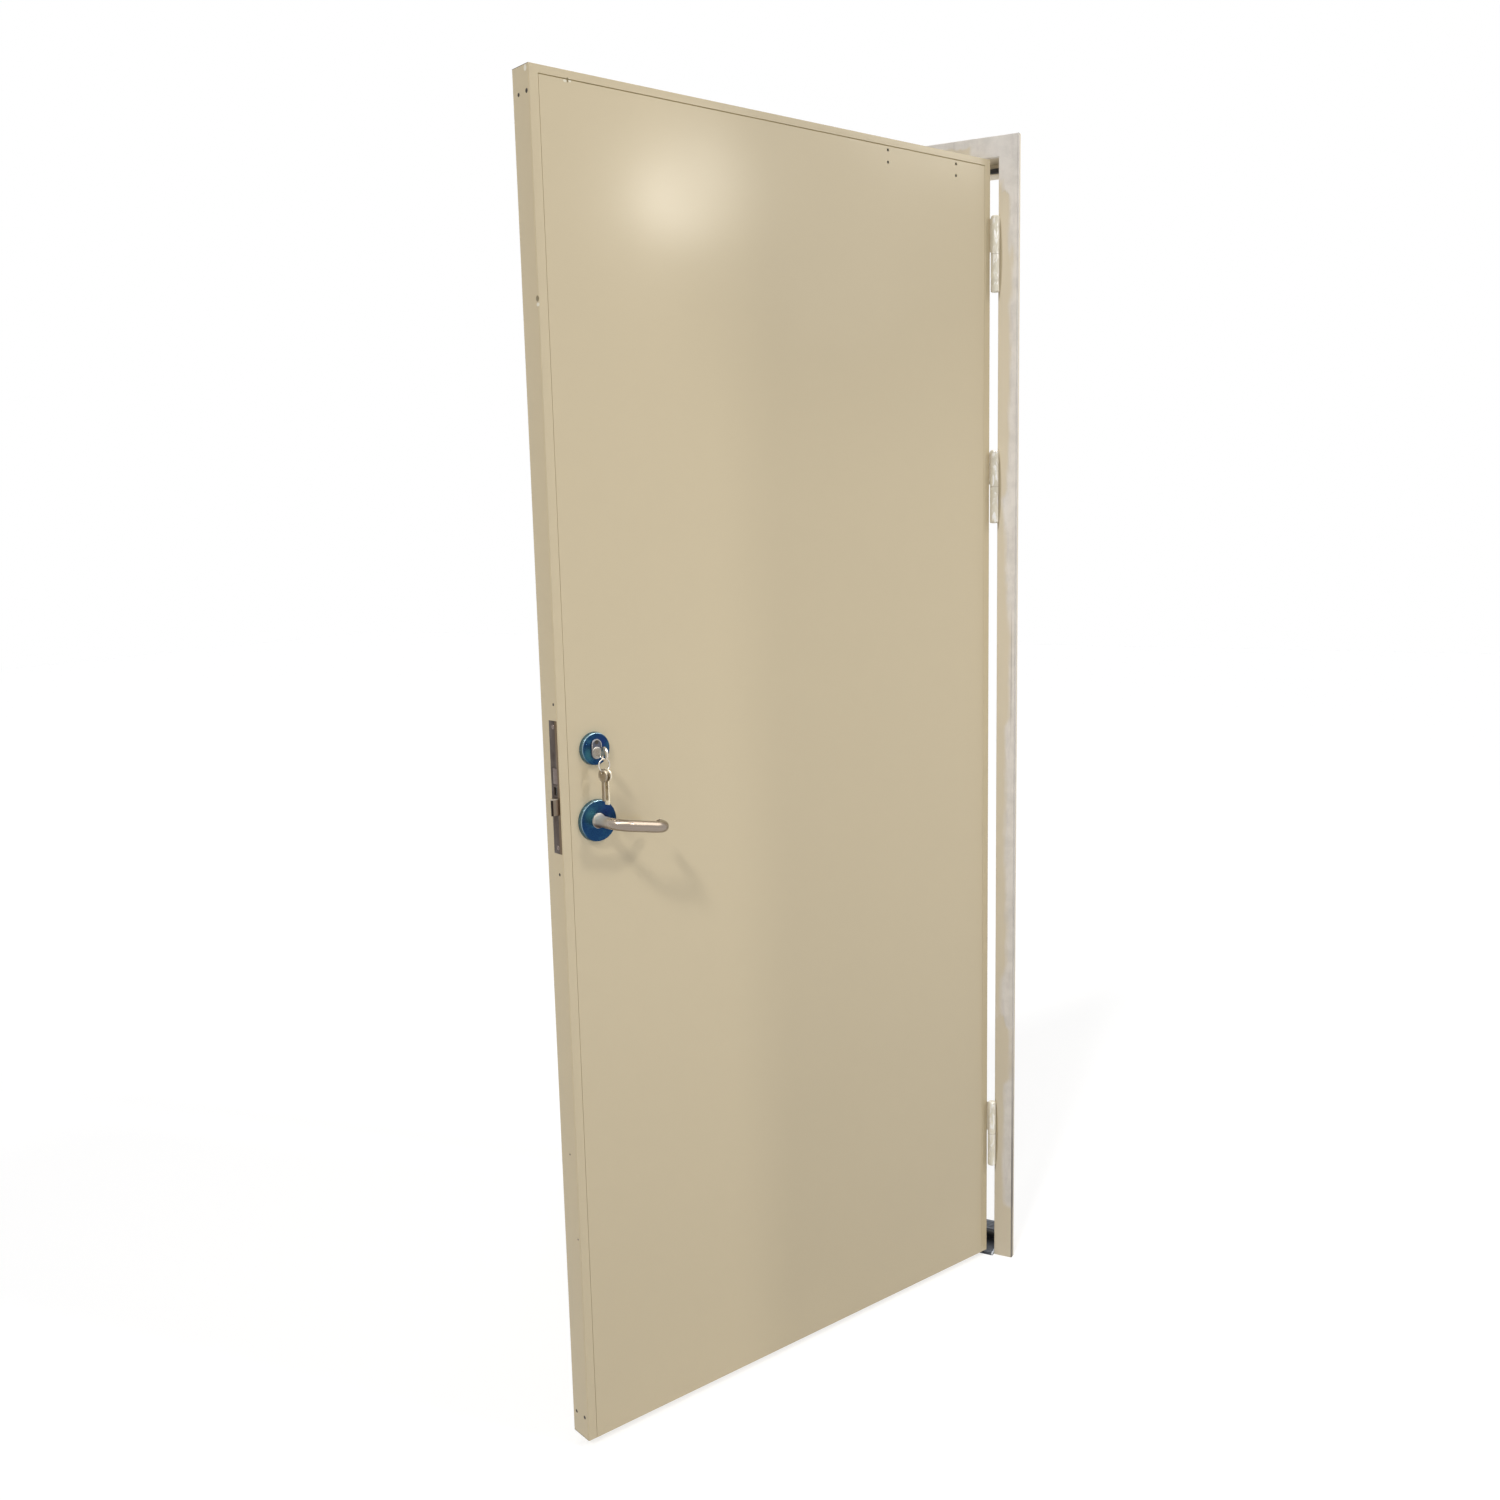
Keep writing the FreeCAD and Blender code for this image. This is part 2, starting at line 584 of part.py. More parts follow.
def spare_key(shift, yaw, wide, reach):
    """Key that hangs from the ring, shifted along it from the lowest point."""
    wire_z = RING_Z - math.sqrt(RING_R ** 2 - shift ** 2)
    hole_z = wire_z + RING_WIRE_R + SPARE_GAP - SPARE_HOLE_R
    bow_z = hole_z - SPARE_BOW_R + SPARE_HOLE_R + 2.2
    u = U_LOCK + shift
    half = SPARE_T / 2
    bow = Part.makeCylinder(SPARE_BOW_R, SPARE_T, leaf_point(u + half, -BOW_OUT, bow_z), V(1, 0, 0))
    tip = bow_z + SPARE_BOW_R - reach
    blade = leaf_box(u - half, u + half, -BOW_OUT - wide / 2, -BOW_OUT + wide / 2, tip, bow_z)
    hole = Part.makeCylinder(SPARE_HOLE_R, SPARE_T + 2, leaf_point(u + half + 1, -BOW_OUT, hole_z), V(1, 0, 0))
    body = bow.fuse(blade).removeSplitter().cut(hole)
    body.rotate(leaf_point(u, -BOW_OUT, hole_z), V(0, 0, 1), yaw)
    return body


def lever(out):
    """Tubular lever: tapered neck on a collar, drooping grip and a quarter bend back towards the leaf."""
    d = 0.0 if out < 0 else LEAF_T
    stub = 1.0
    straight = LEVER_OUT - LEVER_BEND
    root = leaf_point(U_LOCK, d + out * stub, Z_LEVER)
    y = [p + root.y for p in (0, out * (straight - stub), out * (LEVER_OUT - stub))]
    bend = LEVER_BEND * (1 - math.sqrt(0.5))
    x0, x3 = root.x, root.x + LEVER_REACH
    a1, a2 = V(x0, y[1], Z_LEVER), V(x0 + LEVER_BEND, y[2], Z_LEVER)
    m1 = V(x0 + bend, y[2] - out * bend, Z_LEVER)
    b1, b2 = V(x3 - LEVER_BEND, y[2], Z_LEVER), V(x3, y[1], Z_LEVER)
    m2 = V(x3 - bend, y[2] - out * bend, Z_LEVER)
    end = V(x3, root.y + out * (LEVER_RETURN - stub), Z_LEVER)
    path = Part.Wire([Part.LineSegment(root, a1).toShape(), Part.Arc(a1, m1, a2).toShape(),
                      Part.LineSegment(a2, b1).toShape(), Part.Arc(b1, m2, b2).toShape(),
                      Part.LineSegment(b2, end).toShape()])
    ring = Part.Wire([Part.Circle(root, V(0, 1, 0), LEVER_R).toShape()])
    body = path.makePipeShell([ring], True, False)
    rim = [e for e in body.Edges if e.Closed and abs(e.BoundBox.YMin - end.y) < 0.01 and abs(e.BoundBox.YMax - end.y) < 0.01]
    body = body.makeFillet(1.5, rim)
    foot = ROSE_H + 0.5
    shoulder = foot + LEVER_COLLAR_T
    neck = [(0, foot), (LEVER_COLLAR_R, foot), (LEVER_COLLAR_R, shoulder), (NECK_ROOT_R, shoulder),
            (LEVER_R - 0.5, foot + NECK_TAPER), (0, foot + NECK_TAPER)]
    body = body.fuse(revolve(neck, U_LOCK, Z_LEVER, out)).removeSplitter()
    body.rotate(leaf_point(U_LOCK, 0, Z_LEVER), V(0, 1, 0), LEVER_DROOP)
    return body.cut(spindle_blank(0))


def spindle_blank(grow):
    half = SPINDLE / 2 + grow
    return leaf_box(U_LOCK - half, U_LOCK + half, -SPINDLE_IN, LEAF_T + SPINDLE_IN, Z_LEVER - half, Z_LEVER + half)


def thumb_turn():
    """Inside turn: shaft from the lock case and an upright grip."""
    shaft = leaf_rod(U_LOCK, Z_CYL, D_LOCK + CASE_T / 2 + 0.5, LEAF_T + 1, 4.0)
    hub = leaf_rod(U_LOCK, Z_CYL, LEAF_T + 1, LEAF_T + ROSE_H + 2, 7.0)
    out = LEAF_T + ROSE_H
    grip = leaf_box(U_LOCK - 4, U_LOCK + 4, out + 1, out + 17, Z_CYL - 14, Z_CYL + 14)
    edges = [e for e in grip.Edges if abs(e.Vertexes[0].Point.y - e.Vertexes[-1].Point.y) > 1]
    grip = grip.makeFillet(3.0, edges)
    return shaft.fuse(hub).fuse(grip).removeSplitter()


def build():
    frame = {
        "jamb_hinge_side": jamb(1),
        "frame_head": head(),
        "threshold": threshold(),
        "strike_plate": strike_plate(),
        "strike_box": strike_box(),
    }
    lock_jamb = jamb(-1).cut(strike_blank(X_JAMB_L - STRIKE_T, X_JAMB_L + 5))
    frame["jamb_lock_side"] = lock_jamb
    frame.update(seals())
    leaf = {
        "leaf_tray": leaf_tray(),
        "leaf_front_sheet": leaf_front_sheet(),
        "leaf_core": leaf_core(),
        "closer_plate": closer_plate(),
        "lock_case": lock_case(),
        "lock_forend": lock_forend(),
        "rose_lever_outside": lever_rose(-1),
        "rose_lever_inside": lever_rose(1),
        "rose_cylinder_outside": cylinder_rose(-1),
        "rose_turn_inside": cylinder_rose(1),
        "cylinder_body": cylinder_body(),
        "cylinder_plug": cylinder_plug(),
        "key": key(),
        "key_ring": key_ring(),
        "spare_key_plain": spare_key(SPARE_SHIFT, 4.0, 6.0, SPARE_L - 6),
        "spare_key_toothed": spare_key(-SPARE_SHIFT, 15.0, 7.5, SPARE_L),
        "lever_outside": lever(-1),
        "lever_inside": lever(1),
        "spindle": spindle_blank(0),
        "thumb_turn": thumb_turn(),
        "latch_bolt": latch_bolt(),
        "dead_bolt": dead_bolt(),
    }
    nodes = dict(frame)
    for name, shape in leaf.items():
        nodes[name] = swing(shape)
    for name, zc in HINGES:
        nodes["hinge_lower_" + name] = hinge_lower(zc)
        nodes["hinge_pin_" + name] = hinge_pin(zc)
        nodes["hinge_upper_" + name] = hinge_upper(zc)
    return nodes


os.makedirs("parts", exist_ok=True)
for node, shape in build().items():
    shape = solid_of(shape)
    if not shape.isValid() or len(shape.Solids) != 1:
        print("CHECK", node, shape.isValid(), len(shape.Solids))
    shape.exportStep("parts/" + node + ".step")
    print(node, round(shape.Volume / 1000.0, 2), "cm3")
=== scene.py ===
import bmesh
import bpy
import json
import math
from mathutils import Matrix, Vector


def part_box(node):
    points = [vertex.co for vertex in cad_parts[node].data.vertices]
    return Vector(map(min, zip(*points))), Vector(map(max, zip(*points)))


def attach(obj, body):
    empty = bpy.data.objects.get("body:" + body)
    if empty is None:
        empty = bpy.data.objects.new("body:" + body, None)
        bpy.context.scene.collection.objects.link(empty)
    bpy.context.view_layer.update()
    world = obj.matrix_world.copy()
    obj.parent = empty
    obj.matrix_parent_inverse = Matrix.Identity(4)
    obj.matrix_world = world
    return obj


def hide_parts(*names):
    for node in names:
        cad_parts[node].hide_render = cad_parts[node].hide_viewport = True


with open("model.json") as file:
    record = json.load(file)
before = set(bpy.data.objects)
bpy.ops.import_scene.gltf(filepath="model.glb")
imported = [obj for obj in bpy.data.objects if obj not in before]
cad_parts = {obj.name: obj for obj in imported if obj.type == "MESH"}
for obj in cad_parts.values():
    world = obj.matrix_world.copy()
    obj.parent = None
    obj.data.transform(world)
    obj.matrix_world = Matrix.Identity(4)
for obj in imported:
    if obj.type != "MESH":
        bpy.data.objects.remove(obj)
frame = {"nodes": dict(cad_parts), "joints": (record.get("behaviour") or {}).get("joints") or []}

bl_info = {
    "name": "Steel utility door",
    "version": (1, 0, 0),
    "blender": (4, 2, 0),
    "location": "View3D > Sidebar > Door",
    "description": "Dresses a packed steel door, its frame, lock and keys",
    "category": "Object",
}

NODES = frame["nodes"]
JOINTS = {j["name"]: j for j in frame["joints"]}

# The leaf's place.
SWING = JOINTS["leaf_swing"]
AXIS = Vector((SWING["pos_m"][0], SWING["pos_m"][1], 0.0))
OPEN = -math.radians(SWING["range_deg"][0])
LEAF = Matrix.Translation(AXIS) @ Matrix.Rotation(OPEN, 4, "Z") @ Matrix.Translation(-AXIS)
FRAME_LOW, FRAME_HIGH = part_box("jamb_hinge_side")
Y_FACE = FRAME_LOW.y
GAP = 0.005
FACE = 0.036
X_JAMB = FRAME_HIGH.x - FACE
X_HINGE = X_JAMB - GAP
LEAF_W = 0.925
LEAF_T = 0.044
X_EDGE = X_HINGE - LEAF_W
LEAF_LOW, LEAF_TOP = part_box("leaf_tray")[0].z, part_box("leaf_tray")[1].z
U_LOCK = LEAF_W - 0.060
X_LOCK = X_HINGE - U_LOCK
D_LOCK = 0.013
Z_LEVER = JOINTS["handle_turn"]["pos_m"][2]
Z_CYL = JOINTS["turn_inside"]["pos_m"][2]
Z_PLUG = JOINTS["key_turn"]["pos_m"][2]
ROSE_H = 0.007
ROSE_LEVER, ROSE_CYL = 0.0320, 0.0250
CYL_FACE = -0.009
CYL_W, CYL_TALL = 0.018, 0.030
RING_OUT = -0.027
HINGES = ("top", "middle", "bottom")
FOREND_Z = Z_LEVER + 0.055
FOREND_SCREW = 0.090
STRIKE_SCREW = 0.014
FIX_LEVELS = (0.220, 0.820, LEAF_TOP - 0.820, LEAF_TOP - 0.220)
KEY_BOW, KEY_THICK = 0.0105, 0.0022
SPARE_BOW, SPARE_THICK = 0.010, 0.002
WING_FACE, WING_DEPTH = 0.0022, 0.019
WING_SCREWS = (0.2, 0.5, 0.8)
FRAME_SCREW_DEPTH = 0.027
RIB_START, RIB_STEP = 0.063, 0.006
QUARTER = math.pi / 2
Z_UP = Vector((0, 0, 1))

# The camera: a square picture's side, focal length and centre in pixels, the sensor in millimetres,
# then the place in metres and the turns in radians.
PICTURE, FOCAL = 1500.0, 1473.28
CENTRE_X, CENTRE_Y = 785.13, 767.24
SENSOR = 36.0
CAMERA_PLACE = (1.3681, -2.6346, 1.4258)
TURN_X, TURN_Y, TURN_Z = -0.15319, -0.05821, 0.48144

CHIP_HIGHLIGHT = (0.80, 0.76, 0.64)
CHIP_DARK_AND_SHADE = (0.16, 0.12, 0.05)
# Chips and dents in the leaf's paint: u, d, z, half width, half height, colour. The bright marks are painted
# highlights on the dents, the dark ones chipped paint with painted shade.
CHIPS = (
    (0.8636, 0.0, 2.0362, 0.0016, 0.0040, CHIP_DARK_AND_SHADE),
    (0.8678, 0.0, 2.0345, 0.0032, 0.0022, CHIP_HIGHLIGHT),
    (0.8598, 0.0, 2.0362, 0.0026, 0.0030, CHIP_HIGHLIGHT),
    (LEAF_W, 0.0083, 2.0437, 0.0030, 0.0050, CHIP_HIGHLIGHT),
    (LEAF_W, 0.0030, 1.7420, 0.0026, 0.0050, CHIP_DARK_AND_SHADE),
    (LEAF_W, 0.0020, 1.7340, 0.0020, 0.0030, CHIP_HIGHLIGHT),
)
# The height that stands for 1 in the colour ramp of the plaster.
PLASTER_TOP = 2.1
# How far in from the frame's outer edge the wiped plaster reaches, by height.
PLASTER = (
    (0.095, 0.0), (0.110, 0.50), (0.355, 0.55), (0.365, 0.05), (0.470, 0.05), (0.490, 0.85), (0.560, 0.85),
    (0.600, 0.30), (0.750, 0.45), (1.048, 0.55), (1.062, 0.22), (1.214, 0.25), (1.287, 0.45), (1.379, 0.60),
    (1.434, 0.80), (1.462, 0.90), (1.482, 0.42), (1.760, 0.38), (1.805, 0.45), (1.825, 0.22), (1.885, 0.22),
    (1.905, 0.48), (1.985, 0.45), (1.995, 1.0),
)


def on_leaf(u, d, z):
    """Point of the closed leaf: u from the hinge edge, d from the pull face."""
    return Vector((X_HINGE - u, Y_FACE + d, z))


class DoorSizes(bpy.types.PropertyGroup):
    lever_radius: bpy.props.FloatProperty(
        name="Lever tube radius", description="Radius of the lever's tube", default=0.0087, unit="LENGTH")
    lever_out: bpy.props.FloatProperty(
        name="Lever distance", description="Grip's centre line from the leaf's face", default=0.058,
        unit="LENGTH")
    lever_reach: bpy.props.FloatProperty(
        name="Lever reach", description="Spindle to the lever's return", default=0.0945, unit="LENGTH")
    lever_bend: bpy.props.FloatProperty(
        name="Lever bend", description="Bend radius of the tube's centre line", default=0.028, unit="LENGTH")
    lever_droop: bpy.props.FloatProperty(
        name="Lever droop", description="How far the levers hang below level", default=math.radians(10.0),
        subtype="ANGLE")
    lever_return: bpy.props.FloatProperty(
        name="Lever return", description="Gap between the lever's end and the leaf", default=0.028,
        unit="LENGTH")
    knuckle_radius: bpy.props.FloatProperty(
        name="Knuckle radius", description="Outer radius of the hinges", default=0.0075, unit="LENGTH")
    edge_softness: bpy.props.FloatProperty(
        name="Edge softness", description="Width of the bevel on sheet edges", default=0.0006, unit="LENGTH")
    screw_radius: bpy.props.FloatProperty(
        name="Screw head radius", description="Countersunk screws in plates", default=0.0037, unit="LENGTH")
    ring_wire: bpy.props.FloatProperty(
        name="Key ring wire", description="Radius of the ring's wire", default=0.0008, unit="LENGTH")


class DoorColours(bpy.types.PropertyGroup):
    leaf_paint: bpy.props.FloatVectorProperty(
        name="Leaf paint", description="Cream paint of the leaf", default=(0.625, 0.530, 0.360),
        size=3, subtype="COLOR", min=0, max=1)
    frame_paint: bpy.props.FloatVectorProperty(
        name="Frame paint", description="Cream paint of the frame", default=(0.715, 0.630, 0.480),
        size=3, subtype="COLOR", min=0, max=1)
    primer: bpy.props.FloatVectorProperty(
        name="Primer", description="Pale primer and plaster on the frame", default=(0.80, 0.755, 0.70),
        size=3, subtype="COLOR", min=0, max=1)
    film: bpy.props.FloatVectorProperty(
        name="Rose film", description="Blue protective film on the roses", default=(0.008, 0.042, 0.115),
        size=3, subtype="COLOR", min=0, max=1)
    stainless: bpy.props.FloatVectorProperty(
        name="Stainless steel", description="Brushed levers", default=(0.31, 0.26, 0.215),
        size=3, subtype="COLOR", min=0, max=1)
    forend: bpy.props.FloatVectorProperty(
        name="Forend steel", description="Dull steel of the forend", default=(0.084, 0.064, 0.053),
        size=3, subtype="COLOR", min=0, max=1)


# Node helpers.
class Finish:
    """A material under construction, with short names for the nodes used here."""

    def __init__(self, name, colour, rough, metal=0.0):
        self.mat = bpy.data.materials.new(name)
        self.mat.use_nodes = True
        self.nodes = self.mat.node_tree.nodes
        self.links = self.mat.node_tree.links
        self.shader = self.nodes["Principled BSDF"]
        self.shader.inputs["Base Color"].default_value = (*colour, 1)
        self.shader.inputs["Roughness"].default_value = rough
        self.shader.inputs["Metallic"].default_value = metal
        coords = self.nodes.new("ShaderNodeTexCoord")
        self.place = coords.outputs["Object"]
        self.split = None

    def turned_to_leaf(self):
        """Coordinates in which the leaf lies closed, so patterns follow its faces."""
        back = LEAF.inverted()
        node = self.nodes.new("ShaderNodeMapping")
        node.inputs["Location"].default_value = back.to_translation()
        node.inputs["Rotation"].default_value = back.to_euler()
        self.links.new(self.place, node.inputs["Vector"])
        self.place = node.outputs["Vector"]
        return self

    def stretched(self, x, y, z):
        node = self.nodes.new("ShaderNodeMapping")
        node.inputs["Scale"].default_value = (x, y, z)
        self.links.new(self.place, node.inputs["Vector"])
        return node.outputs["Vector"]

    def axis(self, name):
        if self.split is None:
            self.split = self.nodes.new("ShaderNodeSeparateXYZ")
            self.links.new(self.place, self.split.inputs[0])
        return self.split.outputs[name]

    def noise(self, scale, detail=3.0, rough=0.5, place=None, warp=0.0):
        node = self.nodes.new("ShaderNodeTexNoise")
        node.inputs["Scale"].default_value = scale
        node.inputs["Detail"].default_value = detail
        node.inputs["Roughness"].default_value = rough
        node.inputs["Distortion"].default_value = warp
        self.links.new(place or self.place, node.inputs["Vector"])
        return node.outputs["Fac"]

    def cells(self, scale):
        """Distance to the nearest of scattered points, with soft borders."""
        node = self.nodes.new("ShaderNodeTexVoronoi")
        node.feature = "SMOOTH_F1"
        node.inputs["Scale"].default_value = scale
        self.links.new(self.place, node.inputs["Vector"])
        return node.outputs["Distance"]

    def maths(self, kind, a, b=0.0):
        node = self.nodes.new("ShaderNodeMath")
        node.operation = kind
        for socket, value in zip(node.inputs, (a, b)):
            if isinstance(value, (int, float)):
                socket.default_value = value
            else:
                self.links.new(value, socket)
        return node.outputs[0]

    def times(self, a, b):
        return self.maths("MULTIPLY", a, b)

    def plus(self, a, b):
        return self.maths("ADD", a, b)

    def less(self, a, b):
        return self.maths("SUBTRACT", a, b)

    def grey(self, value):
        """The same value in all three channels."""
        node = self.nodes.new("ShaderNodeCombineXYZ")
        for socket in node.inputs:
            self.links.new(value, socket)
        return node.outputs[0]

    def band(self, value, low, high, to_low=0.0, to_high=1.0):
        """Value mapped smoothly from low..high to to_low..to_high."""
        node = self.nodes.new("ShaderNodeMapRange")
        node.interpolation_type = "SMOOTHSTEP"
        for name, number in (("From Min", low), ("From Max", high), ("To Min", to_low), ("To Max", to_high)):
            node.inputs[name].default_value = number
        self.links.new(value, node.inputs["Value"])
        return node.outputs["Result"]

    def mix(self, fac, a, b, kind="MIX"):
        node = self.nodes.new("ShaderNodeMix")
        node.data_type = "RGBA"
        node.blend_type = kind
        for socket, value in zip((node.inputs["Factor"], node.inputs["A"], node.inputs["B"]), (fac, a, b)):
            if isinstance(value, (int, float)):
                socket.default_value = value
            elif isinstance(value, (tuple, list)) or hasattr(value, "hsv"):
                socket.default_value = (*value, 1)
            else:
                self.links.new(value, socket)
        return node.outputs["Result"]

    def spot(self, centre, reach, soft=0.35):
        """1 within an ellipsoid about centre, fading to 0 at its reach."""
        away = self.nodes.new("ShaderNodeVectorMath")
        away.operation = "SUBTRACT"
        away.inputs[1].default_value = centre
        self.links.new(self.place, away.inputs[0])
        scaled = self.nodes.new("ShaderNodeVectorMath")
        scaled.operation = "DIVIDE"
        scaled.inputs[1].default_value = reach
        self.links.new(away.outputs[0], scaled.inputs[0])
        length = self.nodes.new("ShaderNodeVectorMath")
        length.operation = "LENGTH"
        self.links.new(scaled.outputs[0], length.inputs[0])
        return self.band(length.outputs["Value"], 1.0 - soft, 1.0, 1.0, 0.0)

    def levels(self, value, stops):
        """Value looked up between (place, level) stops."""
        node = self.nodes.new("ShaderNodeValToRGB")
        marks = node.color_ramp.elements
        for mark, (_, level) in zip((marks[0], marks[1]), (stops[0], stops[-1])):
            mark.color = (level, level, level, 1)
        for place, level in stops:
            marks.new(place).color = (level, level, level, 1)
        self.links.new(value, node.inputs["Fac"])
        return node.outputs["Color"]

    def colour(self, output):
        self.links.new(output, self.shader.inputs["Base Color"])
        return self

    def rough(self, output):
        self.links.new(output, self.shader.inputs["Roughness"])
        return self

    def metal(self, output):
        self.links.new(output, self.shader.inputs["Metallic"])
        return self

    def bump(self, height, strength, distance=0.001):
        node = self.nodes.new("ShaderNodeBump")
        node.inputs["Strength"].default_value = strength
        node.inputs["Distance"].default_value = distance
        self.links.new(height, node.inputs["Height"])
        last = self.shader.inputs["Normal"]
        if last.is_linked:
            self.links.new(last.links[0].from_socket, node.inputs["Normal"])
        self.links.new(node.outputs["Normal"], last)
        return self


def shade(colour, k):
    return tuple(min(1.0, c * k) for c in colour)


def chosen(name):
    """A colour from the panel."""
    return tuple(getattr(bpy.context.scene.door_colours, name))


# Finishes.
def leaf_paint():
    """Semi-gloss cream paint with painted shade towards the foot, the hinge side and its upper part by the
    hinges, painted shade on the lock edge, and a few chips by the folds with painted highlights.
    """
    base = chosen("leaf_paint")
    f = Finish("leaf_paint", base, 0.24).turned_to_leaf()
    across, height = f.axis("X"), f.axis("Z")
    broad = f.noise(1.7, 2.0)
    # Painted shade: the paint is darkened towards the foot, towards the hinge side and in the upper part
    # near the hinges.
    foot = f.band(height, 0.0, 1.25, 0.17, 0.0)
    side = f.band(f.plus(across, f.times(broad, 0.04)), X_HINGE - 0.62, X_HINGE - 0.46, 0.0, 0.10)
    top = f.times(f.band(height, 1.45, 1.85, 0.0, 0.07), f.band(across, X_HINGE - 0.74, X_HINGE - 0.60))
    painted_shade = f.less(1.0, f.plus(f.plus(foot, top), side))
    tint = f.mix(1.0, base, f.grey(painted_shade), "MULTIPLY")
    tint = f.mix(f.band(broad, 0.3, 0.7, 0.0, 0.12), tint, shade(base, 0.93))
    # Painted shade on the lock edge: darker and warmer than the face.
    lock_edge_shade = f.band(across, X_EDGE + 0.0004, X_EDGE + 0.0010, 1.0, 0.0)
    tint = f.mix(lock_edge_shade, tint, (0.96, 0.93, 0.86), "MULTIPLY")
    # Chips, with painted highlights and painted shade on their dents.
    for u, d, z, wide, tall, colour in CHIPS:
        chip = f.spot(on_leaf(u, d, z), (wide, max(wide, 0.004), tall))
        tint = f.mix(f.times(chip, 0.85), tint, colour)
    f.colour(tint)
    f.rough(f.band(f.noise(3.0, 2.0), 0.3, 0.75, 0.15, 0.20))
    f.bump(f.noise(260.0, 2.0), 0.035, 0.0006)
    f.bump(f.noise(5.0, 2.0), 0.08, 0.002)
    return f.mat


def frame_paint():
    """Cream paint half hidden by plaster wiped along its outer side, darker towards the bottom, with painted
    shadows beside the hinges and a painted shadow line along its outer edge.
    """
    cream, pale = chosen("frame_paint"), chosen("primer")
    f = Finish("frame_paint", cream, 0.45)
    x, y, z = f.axis("X"), f.axis("Y"), f.axis("Z")
    out = f.maths("ABSOLUTE", x)
    front = f.band(y, Y_FACE + 0.004, Y_FACE + 0.010, 1.0, 0.0)
    streak = f.noise(1.0, 4.0, 0.62, f.stretched(60.0, 60.0, 9.0), 0.6)
    blot = f.noise(5.5, 3.0, 0.55, f.stretched(6.0, 6.0, 1.6), 0.4)
    uneven = f.less(streak, 0.5)
    wander = f.maths("DIVIDE", f.plus(z, f.times(uneven, 0.05)), PLASTER_TOP)
    reach = f.levels(wander, [(height / PLASTER_TOP, share) for height, share in PLASTER])
    level = f.less(f.plus(reach, f.band(out, X_JAMB, FRAME_HIGH.x)), 1.0)
    level = f.plus(level, f.times(uneven, 0.70))
    level = f.plus(level, f.times(f.less(blot, 0.5), 0.40))
    side = f.times(f.band(level, -0.20, 0.24), f.band(z, 0.095, 0.110))
    head = f.band(f.plus(z, f.times(streak, 0.02)), 2.005, 2.030)
    patch = f.times(f.band(x, 0.345, 0.352), f.band(x, 0.412, 0.420, 1.0, 0.0))
    patch = f.times(patch, f.band(f.plus(z, f.times(blot, 0.02)), 2.084, 2.090, 1.0, 0.0))
    bare = f.times(f.times(f.maths("MAXIMUM", side, head), f.less(1.0, patch)), front)
    chalk = f.mix(f.band(f.noise(38.0, 4.0, 0.6), 0.35, 0.70), pale, shade(pale, 0.88))
    fine = f.noise(1.0, 3.0, 0.5, f.stretched(120.0, 120.0, 25.0))
    chalk = f.mix(f.band(fine, 0.52, 0.70, 0.0, 0.35), chalk, (0.60, 0.55, 0.53))
    paint = f.mix(f.band(f.noise(7.0, 3.0), 0.3, 0.7, 0.0, 0.25), cream, shade(cream, 0.90))
    tint = f.mix(bare, paint, chalk)
    # Painted shadow line along the frame's outer edge, strongest near the floor.
    rim = f.times(f.band(out, FRAME_HIGH.x - 0.0024, FRAME_HIGH.x - 0.0012), front)
    rim = f.times(rim, f.band(z, 0.12, 0.50, 0.80, 0.26))
    seam = f.times(f.spot((FRAME_HIGH.x - 0.0075, Y_FACE, 1.145), (0.0010, 0.004, 0.155), 0.5), 0.45)
    # Darker towards the bottom.
    tint = f.mix(1.0, tint, f.grey(f.band(z, 0.0, 1.4, 0.76, 1.0)), "MULTIPLY")
    tint = f.mix(seam, tint, (0.24, 0.20, 0.17))
    # Painted shadow of each hinge on the frame's face, just beside and below its knuckle.
    for place in HINGES:
        low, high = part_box("hinge_lower_" + place)[0].z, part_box("hinge_upper_" + place)[1].z
        centre = (X_JAMB + 0.001, Y_FACE, (low + high) / 2 - 0.004)
        grime_and_shade = f.spot(centre, (0.0075, 0.006, (high - low) / 2 + 0.012), 0.25)
        tint = f.mix(f.times(grime_and_shade, 0.62), tint, (0.330, 0.260, 0.150))
    f.colour(f.mix(rim, tint, (0.055, 0.046, 0.040)))
    f.rough(f.band(bare, 0.0, 1.0, 0.42, 0.80))
    f.bump(bare, 0.5, 0.0006)
    f.bump(f.times(f.noise(90.0, 5.0, 0.7), bare), 0.55, 0.0010)
    f.bump(f.noise(240.0, 2.0), 0.05, 0.0006)
    return f.mat


